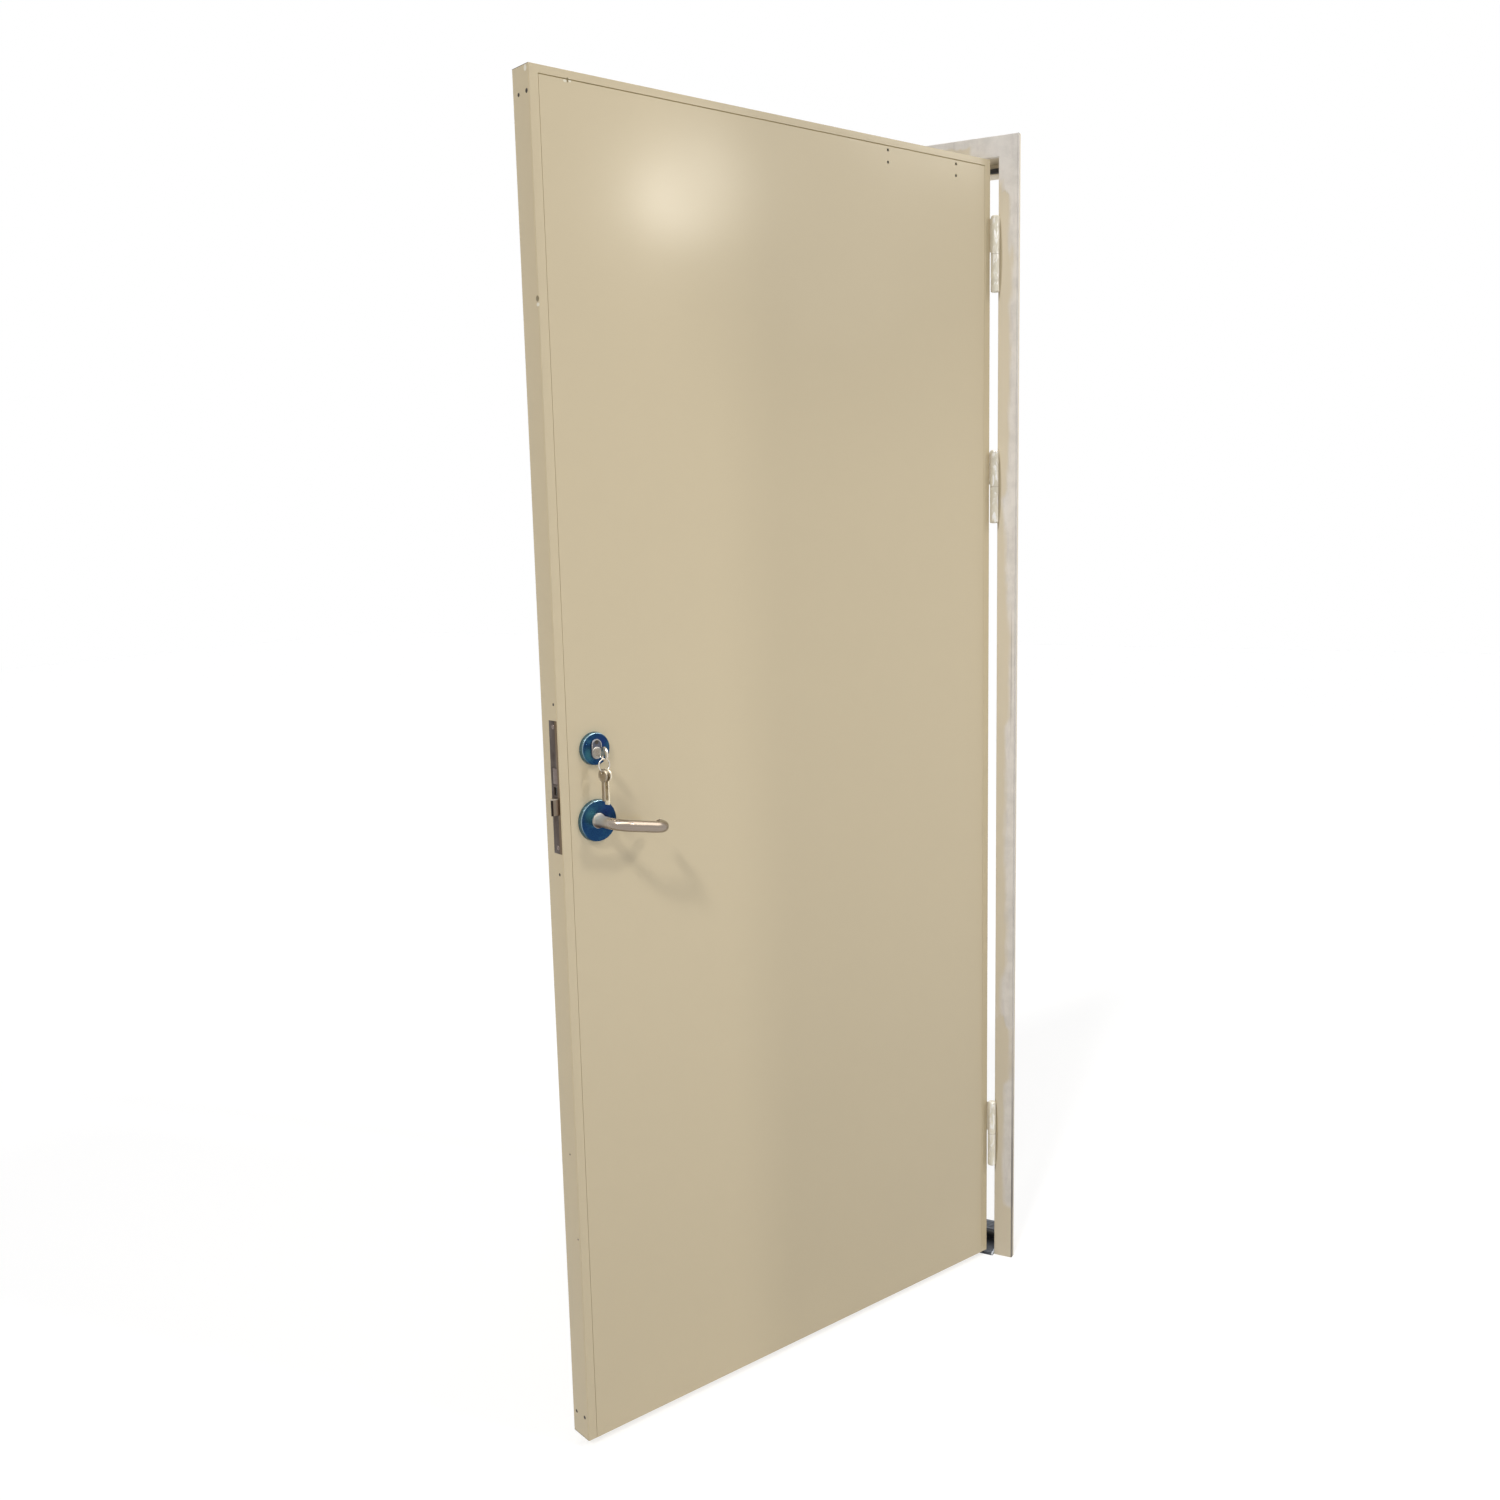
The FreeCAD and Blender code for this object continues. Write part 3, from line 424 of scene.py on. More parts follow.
def film_finish(centre, z0, radius, glint):
    """Deep blue film on spun steel, with a painted teal reflection and teal patches, painted shade on its
    upper hinge side, a painted reflection on its side wall and a painted highlight along its front edge.
    """
    blue = chosen("film")
    f = Finish("rose_film_" + centre, blue, 0.28, 0.9).turned_to_leaf()
    dx = f.less(f.axis("X"), X_LOCK)
    dz = f.less(f.axis("Z"), z0)
    reach = f.maths("SQRT", f.plus(f.times(dx, dx), f.times(dz, dz)))
    upper_left = f.band(f.less(dz, dx), -0.4 * radius, 1.2 * radius)
    # Painted reflection: a teal spot near the neck, merged with random teal patches.
    place = (X_LOCK + glint[0] * radius, Y_FACE - ROSE_H, z0 + glint[1] * radius)
    shine = f.spot(place, (0.50 * radius, 0.02, 0.62 * radius), 0.9)
    teal = f.maths("MAXIMUM", shine, f.band(f.noise(42.0, 3.0, 0.5, None, 0.8), 0.50, 0.72, 0.0, 0.5))
    tint = f.mix(f.times(teal, 0.9), blue, (0.040, 0.150, 0.200))
    # Painted shade: deeper blue on the upper side towards the hinges.
    place = (X_LOCK + 0.35 * radius, Y_FACE - ROSE_H, z0 + 0.4 * radius)
    deep = f.spot(place, (0.6 * radius, 0.02, 0.6 * radius), 0.9)
    tint = f.mix(f.times(deep, 0.7), tint, (0.014, 0.030, 0.130))
    tint = f.mix(f.band(f.noise(190.0, 4.0), 0.62, 0.75, 0.0, 0.30), tint, (0.05, 0.20, 0.30))
    # Painted reflection on the side wall.
    wall = f.band(reach, radius - 0.0011, radius - 0.0007)
    tint = f.mix(wall, tint, (0.100, 0.200, 0.270))
    # Painted highlight along the front edge, on its upper side towards the lock edge.
    edge = f.times(f.band(reach, radius - 0.0024, radius - 0.0017), f.less(1.0, wall))
    f.colour(f.mix(f.times(edge, f.times(upper_left, 0.6)), tint, (0.34, 0.50, 0.56)))
    f.rough(f.band(f.noise(75.0, 3.0), 0.35, 0.7, 0.20, 0.36))
    f.bump(f.noise(120.0, 3.0, 0.6, f.stretched(1.0, 1.0, 2.4), 1.2), 0.22, 0.0010)
    f.bump(f.cells(260.0), 0.04, 0.0008)
    return f.mat


def brushed(name, colour, rough, grain, leaf):
    """Drawn or brushed metal with fine grain and light handling marks."""
    f = Finish(name, colour, rough, 1.0)
    if leaf:
        f.turned_to_leaf()
    lines = f.noise(6.0, 4.0, 0.6, f.stretched(*grain))
    f.colour(f.mix(f.band(lines, 0.35, 0.68, 0.0, 0.55), colour, shade(colour, 0.74)))
    smear = f.band(f.noise(34.0, 3.0), 0.3, 0.75, rough - 0.04, rough + 0.12)
    f.rough(f.plus(smear, f.band(lines, 0.3, 0.7, 0.0, 0.06)))
    f.bump(lines, 0.10, 0.0003)
    return f.mat


def lever_steel():
    """Brushed stainless lever, duller and paler on its turned neck, with painted shade under the neck."""
    base = chosen("stainless")
    f = Finish("stainless", base, 0.26, 1.0).turned_to_leaf()
    lines = f.noise(6.0, 4.0, 0.6, f.stretched(40.0, 40.0, 400.0))
    middle = f.maths("ABSOLUTE", f.less(f.axis("Y"), Y_FACE + LEAF_T / 2))
    neck = f.band(middle, LEAF_T / 2 + 0.024, LEAF_T / 2 + 0.050, 1.0, 0.0)
    # Painted shade on the underside of the neck.
    under = f.band(f.axis("Z"), Z_LEVER - 0.0065, Z_LEVER - 0.0005, 1.0, 0.0)
    tint = f.mix(f.band(lines, 0.35, 0.68, 0.0, 0.45), base, shade(base, 0.76))
    tint = f.mix(neck, tint, (0.52, 0.48, 0.42))
    f.colour(f.mix(f.times(neck, under), tint, (0.150, 0.100, 0.068)))
    f.metal(f.less(1.0, f.times(neck, 0.62)))
    f.rough(f.plus(f.band(f.noise(34.0, 3.0), 0.3, 0.75, 0.22, 0.27), f.times(neck, 0.14)))
    f.bump(lines, 0.004, 0.0003)
    return f.mat


def forend_steel():
    """Dull bronze-grey lock steel, rubbed bright in fine vertical scratches."""
    base = chosen("forend")
    f = Finish("forend_steel", base, 0.42, 0.85).turned_to_leaf()
    scratch = f.noise(1.0, 4.0, 0.7, f.stretched(900.0, 900.0, 22.0))
    stain = f.noise(60.0, 3.0)
    tint = f.mix(f.band(scratch, 0.50, 0.72, 0.0, 0.65), base, shade(base, 1.7))
    tint = f.mix(f.band(stain, 0.45, 0.75, 0.0, 0.5), tint, shade(base, 0.55))
    rubbed = f.band(f.axis("Y"), Y_FACE + 0.006, Y_FACE + 0.010, 0.85, 0.0)
    f.colour(f.mix(rubbed, tint, (0.170, 0.120, 0.068)))
    f.rough(f.band(stain, 0.3, 0.7, 0.34, 0.55))
    f.bump(scratch, 0.12, 0.0004)
    return f.mat


def latch_steel():
    """Latch with painted shade on its nose, a rubbed band behind it painted brighter as a highlight, and a
    painted highlight along its top.
    """
    f = Finish("latch_steel", (0.16, 0.125, 0.105), 0.36, 0.9).turned_to_leaf()
    grain = f.noise(1.0, 4.0, 0.6, f.stretched(900.0, 60.0, 60.0))
    tint = f.mix(f.band(grain, 0.4, 0.7, 0.0, 0.5), (0.24, 0.175, 0.125), (0.15, 0.108, 0.078))
    out = f.less(X_EDGE, f.axis("X"))
    # The rubbed band behind the nose is painted brighter as a highlight on the lit tip, the nose gets
    # painted shade, and the top edge a painted highlight.
    rub_and_highlight = f.times(f.band(out, 0.0034, 0.0046), f.band(out, 0.0078, 0.0086, 1.0, 0.0))
    nose = f.band(out, 0.0082, 0.0090)
    bolt_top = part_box("latch_bolt")[1].z
    top = f.band(f.axis("Z"), bolt_top - 0.0018, bolt_top - 0.0009)
    tint = f.mix(rub_and_highlight, tint, (0.205, 0.168, 0.128))
    tint = f.mix(nose, tint, (0.022, 0.016, 0.013))
    f.colour(f.mix(top, tint, (0.42, 0.37, 0.31)))
    f.bump(grain, 0.08, 0.0002)
    return f.mat


def knuckle_paint():
    """Cream paint on the hinges, worn through to bare steel along the rubbed side."""
    f = Finish("knuckle_paint", (0.70, 0.66, 0.55), 0.38)
    wear = f.noise(1.0, 4.0, 0.65, f.stretched(140.0, 140.0, 46.0), 0.8)
    bare = f.band(wear, 0.50, 0.60)
    tint = f.mix(f.band(f.noise(60.0, 3.0), 0.3, 0.7), (0.72, 0.675, 0.56), (0.60, 0.56, 0.46))
    f.colour(f.mix(bare, tint, (0.80, 0.78, 0.74)))
    f.metal(f.times(bare, 0.7))
    f.rough(f.band(bare, 0.0, 1.0, 0.46, 0.30))
    f.bump(bare, 0.35, 0.0003)
    f.bump(f.noise(230.0, 3.0), 0.10, 0.0004)
    return f.mat


def seal_rubber():
    """Matt black rubber, dusty along its crown."""
    f = Finish("seal_rubber", (0.020, 0.020, 0.021), 0.72)
    dust = f.noise(70.0, 4.0, 0.6, f.stretched(1.0, 1.0, 0.4))
    f.colour(f.mix(f.band(dust, 0.50, 0.80, 0.0, 0.55), (0.018, 0.018, 0.019), (0.085, 0.080, 0.072)))
    f.rough(f.band(dust, 0.3, 0.7, 0.60, 0.85))
    f.bump(f.noise(420.0, 3.0), 0.20, 0.0004)
    return f.mat


def sill_steel():
    """Blue-grey steel threshold, scuffed bright where feet cross it, with a painted highlight on its corner
    by the jamb.
    """
    f = Finish("sill_steel", (0.050, 0.055, 0.066), 0.42, 0.8)
    rubbed = f.noise(1.0, 5.0, 0.65, f.stretched(9.0, 90.0, 90.0), 0.5)
    dirt = f.noise(24.0, 4.0, 0.6)
    tint = f.mix(f.band(rubbed, 0.48, 0.68, 0.0, 0.7), (0.050, 0.055, 0.066), (0.110, 0.118, 0.135))
    tint = f.mix(f.band(dirt, 0.50, 0.72, 0.0, 0.6), tint, (0.030, 0.027, 0.025))
    # Worn steel at the corner by the jamb, painted brighter as a highlight on the rounded corner.
    worn = f.spot((X_JAMB - 0.0015, Y_FACE + 0.004, 0.004), (0.0024, 0.030, 0.012), 0.5)
    f.colour(f.mix(worn, tint, (0.42, 0.44, 0.47)))
    f.rough(f.band(dirt, 0.3, 0.7, 0.34, 0.62))
    f.bump(rubbed, 0.18, 0.0005)
    return f.mat


def plain_metal(name, colour, rough, scale, leaf):
    """Plated or cast metal with a fine, slightly uneven skin."""
    f = Finish(name, colour, rough, 1.0)
    if leaf:
        f.turned_to_leaf()
    grain = f.noise(scale, 4.0, 0.6)
    f.colour(f.mix(f.band(grain, 0.35, 0.72, 0.0, 0.6), colour, shade(colour, 0.66)))
    f.rough(f.band(f.noise(scale * 0.4, 3.0), 0.3, 0.7, rough * 0.8, min(1.0, rough * 1.5)))
    f.bump(grain, 0.14, 0.0003)
    return f.mat


def mineral_wool():
    f = Finish("mineral_wool", (0.42, 0.34, 0.16), 0.95)
    strand = f.noise(8.0, 5.0, 0.7, f.stretched(6.0, 30.0, 60.0), 1.0)
    f.colour(f.mix(strand, (0.46, 0.38, 0.20), (0.30, 0.23, 0.10)))
    f.bump(strand, 0.8, 0.002)
    return f.mat


# Painted shade: near-black with a little mottling, standing in for the shade inside holes, notches and
# recesses.
def dark_recess():
    f = Finish("dark_recess", (0.035, 0.028, 0.022), 0.85)
    grime_and_shade = f.noise(900.0, 3.0)
    f.colour(f.mix(grime_and_shade, (0.020, 0.016, 0.012), (0.070, 0.056, 0.042)))
    f.bump(grime_and_shade, 0.2, 0.0002)
    return f.mat


FINISHES = {}
# Metals with a plain skin: colour, roughness, scale of the grain, and whether it follows the leaf.
PLAIN = {
    "cylinder_steel": ((0.115, 0.120, 0.150), 0.26, 300.0, True),
    "zinc_plate": ((0.50, 0.51, 0.52), 0.38, 60.0, False),
    "satin_nickel": ((0.46, 0.44, 0.41), 0.30, 300.0, True),
    "key_bright": ((0.74, 0.68, 0.60), 0.26, 420.0, True),
    "key_dark": ((0.42, 0.36, 0.28), 0.36, 420.0, True),
    "key_brass": ((0.86, 0.78, 0.62), 0.32, 420.0, True),
    "ring_wire": ((0.74, 0.71, 0.66), 0.20, 500.0, True),
    "washer_brass": ((0.36, 0.29, 0.20), 0.30, 500.0, False),
    "screw_steel": ((0.62, 0.59, 0.55), 0.32, 500.0, False),
    "forend_screw_steel": ((0.24, 0.19, 0.165), 0.24, 500.0, True),
}
# Brushed metals: colour, roughness, stretch of the grain, and whether it follows the leaf.
BRUSHED = {
    "rose_steel": ((0.52, 0.50, 0.47), 0.28, (40.0, 40.0, 400.0), True),
    "strike_steel": ((0.36, 0.33, 0.29), 0.36, (900.0, 900.0, 22.0), False),
    "dead_bolt_steel": ((0.20, 0.158, 0.140), 0.34, (400.0, 60.0, 60.0), True),
    "bolt_steel": ((0.60, 0.57, 0.53), 0.30, (400.0, 60.0, 60.0), True),
}
# Films on the roses: height of the centre, radius, and where the painted reflection sits, in radii.
FILMS = {
    "lever": (Z_LEVER, ROSE_LEVER, (-0.42, 0.30)),
    "cylinder": (Z_CYL, ROSE_CYL, (-0.55, -0.30)),
}
# Finishes with a function each.
SPECIAL = {
    "leaf_paint": leaf_paint,
    "frame_paint": frame_paint,
    "film_lever": lambda: film_finish("lever", *FILMS["lever"]),
    "film_cylinder": lambda: film_finish("cylinder", *FILMS["cylinder"]),
    "stainless": lever_steel,
    "forend_steel": forend_steel,
    "latch_steel": latch_steel,
    "knuckle_paint": knuckle_paint,
    "seal_rubber": seal_rubber,
    "sill_steel": sill_steel,
    "mineral_wool": mineral_wool,
    "dark_recess": dark_recess,
}


def finish(name):
    """The finish of that name, made once."""
    if name in FINISHES:
        return FINISHES[name]
    if name in PLAIN:
        made = plain_metal(name, *PLAIN[name])
    elif name in BRUSHED:
        made = brushed(name, *BRUSHED[name])
    else:
        made = SPECIAL[name]()
    FINISHES[name] = made
    return made


# Mesh helpers.
def piece(name, bm, body, finish_name, smooth=35.0, leaf=False, replaces=()):
    """Puts a bmesh in the scene as a finished piece that rides on a body."""
    if leaf:
        bmesh.ops.transform(bm, matrix=LEAF, verts=bm.verts)
    for face in bm.faces:
        face.smooth = True
    for edge in bm.edges:
        if len(edge.link_faces) == 2 and edge.calc_face_angle(0.0) > math.radians(smooth):
            edge.smooth = False
    mesh = bpy.data.meshes.new(name)
    bm.to_mesh(mesh)
    bm.free()
    mesh.materials.append(finish(finish_name))
    obj = bpy.data.objects.new(name, mesh)
    bpy.context.scene.collection.objects.link(obj)
    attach(obj, body)
    if replaces:
        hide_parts(*replaces)


def round_off(bm, edges, width, segments):
    bmesh.ops.bevel(bm, geom=edges, offset=width, offset_type="OFFSET", affect="EDGES", segments=segments,
                    profile=0.5, material=-1, clamp_overlap=True)


def softened(node, body, finish_name, width, segments=2, angle=40.0):
    """Copy of a node with its sharp edges rounded, shown in its place."""
    bm = broken_edges(node, width, segments, angle)
    piece(node + "_shown", bm, body, finish_name, 30.0, replaces=(node,))


def turned(bm, angle, axis, centre=(0, 0, 0)):
    """Turns a whole mesh about an axis through centre."""
    bmesh.ops.rotate(bm, cent=centre, matrix=Matrix.Rotation(angle, 3, axis), verts=bm.verts)


def moved(bm, step):
    """Moves a whole mesh."""
    bmesh.ops.translate(bm, vec=step, verts=bm.verts)


def upright_to(axis):
    """The turn that lays Z along an axis."""
    return Z_UP.rotation_difference(Vector(axis)).to_matrix().to_4x4()


def box_bm(low, high):
    bm = bmesh.new()
    size = [b - a for a, b in zip(low, high)]
    made = bmesh.ops.create_cube(bm, size=1.0)
    bmesh.ops.scale(bm, vec=size, verts=made["verts"])
    bmesh.ops.translate(bm, vec=[(a + b) / 2 for a, b in zip(low, high)], verts=made["verts"])
    return bm


def spun(profile, centre, axis, steps):
    """Revolves (radius, height) points about an axis through centre."""
    bm = bmesh.new()
    axis = Vector(axis).normalized()
    side = axis.orthogonal().normalized()
    verts = [bm.verts.new(Vector(centre) + side * r + axis * h) for r, h in profile]
    edges = [bm.edges.new(pair) for pair in zip(verts, verts[1:])]
    bmesh.ops.spin(bm, geom=verts + edges, cent=centre, axis=axis, angle=2 * math.pi, steps=steps,
                   use_merge=True)
    bmesh.ops.remove_doubles(bm, verts=bm.verts, dist=1e-7)
    bmesh.ops.recalc_face_normals(bm, faces=bm.faces)
    return bm


def add(bm, other):
    """Adds another bmesh's faces to this one."""
    mesh = bpy.data.meshes.new("part_of_piece")
    other.to_mesh(mesh)
    other.free()
    bm.from_mesh(mesh)
    bpy.data.meshes.remove(mesh)


def drawn_out(bm, caps):
    """Extrudes the end face of a bar and takes away the one left inside; gives the new end face."""
    made = bmesh.ops.extrude_face_region(bm, geom=caps)
    fresh = [g for g in made["geom"] if isinstance(g, bmesh.types.BMFace)]
    inner = [f for f in caps if f.is_valid]
    if inner:
        bmesh.ops.delete(bm, geom=inner, context="FACES_ONLY")
    return fresh, list({v for f in fresh for v in f.verts})


def tube_run(bm, start, direction, radius, runs, sides):
    """Round bar along ("straight", length) and ("bend", centre, axis, angle) runs; gives its end face."""
    place = Matrix.Translation(start) @ upright_to(direction)
    made = bmesh.ops.create_circle(bm, cap_ends=True, radius=radius, segments=sides, matrix=place)
    ring = list(made["verts"][0].link_faces)
    heading = Vector(direction).normalized()
    for run in runs:
        if run[0] == "straight":
            ring, verts = drawn_out(bm, ring)
            bmesh.ops.translate(bm, vec=heading * run[1], verts=verts)
        else:
            _, centre, axis, angle = run
            steps = 16
            turn = Matrix.Rotation(angle / steps, 3, Vector(axis))
            for _ in range(steps):
                ring, verts = drawn_out(bm, ring)
                bmesh.ops.rotate(bm, cent=centre, matrix=turn, verts=verts)
            heading = Matrix.Rotation(angle, 3, Vector(axis)) @ heading
    return ring


def screw_bm(bm, place, axis, radius, sunk=0.0002):
    """Countersunk screw head with a cross recess."""
    axis = Vector(axis).normalized()
    profile = [(0.0, -0.0010), (radius * 0.80, -0.0010), (radius, -0.0002), (radius * 0.92, 0.00025),
               (radius * 0.45, 0.00045), (0.0, 0.00050)]
    head = spun(profile, (0, 0, 0), (0, 0, 1), 24)
    for spin in (0.0, QUARTER):
        slot = box_bm((-radius * 0.62, -radius * 0.12, 0.00010), (radius * 0.62, radius * 0.12, 0.00060))
        turned(slot, spin + 0.4, "Z")
        moved(slot, (0, 0, 0.00002))
        add(head, slot)
    place = Matrix.Translation(Vector(place) - axis * sunk) @ upright_to(axis)
    bmesh.ops.transform(head, matrix=place, verts=head.verts)
    add(bm, head)


# Pieces.
def dress(node, finish_name):
    """A node kept as it is, with its finish."""
    obj = NODES[node]
    obj.data.materials.clear()
    obj.data.materials.append(finish(finish_name))
    for poly in obj.data.polygons:
        poly.material_index = 0


def edge_dimples():
    """Countersunk dimples and small holes in the leaf's lock edge, drawn as thin discs of painted shade."""
    bm = bmesh.new()
    for d, z, radius in ((0.0282, 2.0130, 0.0024), (0.0070, 2.0141, 0.0027), (0.0335, 0.0470, 0.0024),
                         (0.0102, 0.0470, 0.0026), (0.0090, 1.1760, 0.0019), (0.0120, 0.9226, 0.0021),
                         (0.0188, 0.4826, 0.0013), (0.0063, 0.3479, 0.0012)):
        profile = [(0.0, 0.00004), (radius * 0.55, 0.00005), (radius, 0.00012), (radius * 1.15, 0.00002)]
        add(bm, spun(profile, on_leaf(LEAF_W, d, z), (-1, 0, 0), 20))
    piece("edge_dimples", bm, "leaf", "dark_recess", leaf=True)


def fold_corners():
    """Open ends of the folds at the leaf's corners: thin boxes of painted shade that stand for the small
    notches.
    """
    bm = bmesh.new()
    for z0, z1 in ((LEAF_TOP - 0.0006, LEAF_TOP + 0.00004), (LEAF_LOW - 0.00004, LEAF_LOW + 0.0006)):
        low = (X_EDGE - 0.00004, Y_FACE + 0.0012, z0)
        high = (X_EDGE + 0.0010, Y_FACE + LEAF_T - 0.0012, z1)
        add(bm, box_bm(low, high))
    piece("fold_corners", bm, "leaf", "dark_recess", leaf=True)


def forend_screws():
    bm = bmesh.new()
    radius = bpy.context.scene.door_sizes.screw_radius
    for z in (FOREND_Z - FOREND_SCREW, FOREND_Z + FOREND_SCREW):
        screw_bm(bm, on_leaf(LEAF_W, D_LOCK, z), (-1, 0, 0), radius, 0.0001)
    piece("forend_screws", bm, "leaf", "forend_screw_steel", leaf=True)


def strike_screws():
    bm = bmesh.new()
    radius = bpy.context.scene.door_sizes.screw_radius
    low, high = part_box("strike_plate")
    for z in (low.z + STRIKE_SCREW, high.z - STRIKE_SCREW):
        screw_bm(bm, (high.x, (low.y + high.y) / 2, z), (1, 0, 0), radius, 0.0001)
    piece("strike_screws", bm, "frame", "screw_steel")


def frame_screws():
    """Domed heads of the wall screws, seated in the jambs' holes."""
    bm = bmesh.new()
    profile = [(0.0, 0.0004), (0.0026, 0.0002), (0.0042, -0.0004), (0.0050, -0.0012), (0.0050, -0.0022)]
    for side in (1, -1):
        axis = (-side, 0, 0)
        for z in FIX_LEVELS:
            place = Vector((side * X_JAMB, Y_FACE + FRAME_SCREW_DEPTH, z))
            add(bm, spun(profile, place, axis, 28))
            seat = Matrix.Translation(place) @ upright_to(axis)
            for turn in (0.3, 0.3 + QUARTER):
                slot = box_bm((-0.0024, -0.00045, -0.0004), (0.0024, 0.00045, 0.00046))
                turned(slot, turn, "Z")
                bmesh.ops.transform(slot, matrix=seat, verts=slot.verts)
                add(bm, slot)
    piece("frame_screws", bm, "frame", "screw_steel")


def hinge_rings(place):
    """Bright bearing washer between the two knuckles."""
    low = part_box("hinge_lower_" + place)[1].z
    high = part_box("hinge_upper_" + place)[0].z
    radius = bpy.context.scene.door_sizes.knuckle_radius
    profile = [(0.0055, low + 0.00005), (radius - 0.0004, low + 0.00005), (radius, low + 0.0002),
               (radius, high - 0.0002), (radius - 0.0004, high - 0.00005), (0.0055, high - 0.00005),
               (0.0055, low + 0.00005)]
    bm = spun(profile, (AXIS.x, AXIS.y, 0), (0, 0, 1), 40)
    piece("hinge_ring_" + place, bm, "frame", "washer_brass")


def hinge_screws(place):
    """Countersunk screws in both wings."""
    radius = bpy.context.scene.door_sizes.screw_radius
    low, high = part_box("hinge_lower_" + place)
    bm = bmesh.new()
    for k in WING_SCREWS:
        z = low.z + (high.z - low.z) * k
        screw_bm(bm, (X_JAMB - WING_FACE, Y_FACE + WING_DEPTH, z), (-1, 0, 0), radius)
    piece("wing_screws_lower_" + place, bm, "frame", "screw_steel")
    low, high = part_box("hinge_upper_" + place)
    bm = bmesh.new()
    for k in WING_SCREWS:
        z = low.z + (high.z - low.z) * k
        screw_bm(bm, on_leaf(-WING_FACE, WING_DEPTH, z), (1, 0, 0), radius)
    piece("wing_screws_upper_" + place, bm, "leaf", "screw_steel", leaf=True)


def lever_bar(out):
    """Lever drawn from one bent tube with a rounded end; out = -1 on the pull side."""
    sizes = bpy.context.scene.door_sizes
    r, bend = sizes.lever_radius, sizes.lever_bend
    face = 0.0 if out < 0 else LEAF_T
    root = on_leaf(U_LOCK, face + out * 0.001, Z_LEVER)
    straight = sizes.lever_out - bend - 0.001
    bm = bmesh.new()
    ahead = Vector((0, out, 0))
    first = root + ahead * straight + Vector((bend, 0, 0))
    grip = sizes.lever_reach - 2 * bend
    second = root + ahead * straight + Vector((bend + grip, 0, 0))
    axis = ahead.cross(Vector((1, 0, 0)))
    last = sizes.lever_out - bend - sizes.lever_return - 0.0015
    third = ("straight", grip / 3)
    runs = (("straight", straight), ("bend", first, axis, QUARTER), third, third, third,
            ("bend", second, axis, QUARTER), ("straight", last))
    end = tube_run(bm, root, ahead, r, runs, 40)
    for grow, step in ((-0.0004, 0.0007), (-0.0011, 0.0008)):
        end, verts = drawn_out(bm, end)
        centre = sum((v.co for v in verts), Vector()) / len(verts)
        bmesh.ops.translate(bm, vec=-ahead * step, verts=verts)
        thinner = Vector((1 + grow / r, 1, 1 + grow / r))
        bmesh.ops.scale(bm, vec=thinner, space=Matrix.Translation(-centre), verts=verts)
    foot = ROSE_H + 0.0005
    neck = ((r - 0.0004, 0.0), (0.0106, 0.0), (0.0110, 0.0004), (0.0110, 0.0011), (0.0106, 0.0015),
            (0.0100, 0.0015), (0.0100, 0.0023), (0.0096, 0.0025), (0.0096, 0.0028), (0.0099, 0.0030),
            (0.0098, 0.0037), (0.0094, 0.0039), (0.0094, 0.0042), (0.0097, 0.0044), (0.0092, 0.0070),
            (r, 0.0105), (r - 0.0004, 0.0115))
    profile = [(radius, foot + height) for radius, height in neck]
    add(bm, spun(profile, on_leaf(U_LOCK, face, Z_LEVER), ahead, 48))
    bmesh.ops.remove_doubles(bm, verts=bm.verts, dist=1e-7)
    bmesh.ops.recalc_face_normals(bm, faces=bm.faces)
    turned(bm, sizes.lever_droop, "Y", on_leaf(U_LOCK, 0, Z_LEVER))
    name = "lever_outside" if out < 0 else "lever_inside"
    piece(name + "_tube", bm, "levers", "stainless", 40.0, True, (name,))


def broken_edges(node, width, segments=2, angle=40.0):
    """Copy of a node's mesh with its flat faces joined up and its sharp edges bevelled."""
    bm = bmesh.new()
    bm.from_mesh(NODES[node].data)
    bmesh.ops.remove_doubles(bm, verts=bm.verts, dist=1e-6)
    bmesh.ops.dissolve_limit(bm, angle_limit=math.radians(1.0), verts=bm.verts, edges=bm.edges)
    sharp = [e for e in bm.edges if len(e.link_faces) == 2 and e.calc_face_angle(0.0) > math.radians(angle)]
    if width > 0 and sharp:
        round_off(bm, sharp, width, segments)
    bmesh.ops.recalc_face_normals(bm, faces=bm.faces)
    return bm


def bow_rims(bow, thick):
    """Raised rims on both sides of a key's bow, its centre at the origin and its faces along X."""
    bm = bmesh.new()
    low, high = thick / 2 - 0.0002, thick / 2 + 0.0003
    rim = ((bow - 0.0022, low), (bow - 0.0018, high), (bow - 0.0008, high), (bow - 0.0004, low))
    for side in (1, -1):
        add(bm, spun([(r, h * side) for r, h in rim], (0, 0, 0), (1, 0, 0), 40))
    return bm


def blade_cuts(blade, top, length, thick, teeth):
    """Groove and cut teeth of a key's blade, which hangs down from top."""
    half = thick / 2
    bm = box_bm((-half - 0.00015, -blade * 0.10, top - length * 0.93), (half + 0.00015, blade * 0.12, top))
    pitch = (length - 0.006) / teeth if teeth else 0.0
    for k in range(teeth):
        deep = (0.0019, 0.0012, 0.0016, 0.0009)[k % 4]
        z = top - 0.003 - pitch * (k + 0.5)
        tooth = bmesh.new()
        bmesh.ops.create_cone(tooth, cap_ends=True, segments=4, radius1=pitch * 0.66, radius2=pitch * 0.16,
                              depth=deep + 0.0008)
        turned(tooth, math.pi / 4, "Z")
        bmesh.ops.scale(tooth, vec=(thick * 0.95 / pitch, 1, 1), verts=tooth.verts)
        turned(tooth, QUARTER, "X")
        moved(tooth, (0, -blade / 2 - deep / 2 + 0.0006, z))
        add(bm, tooth)
    return bm


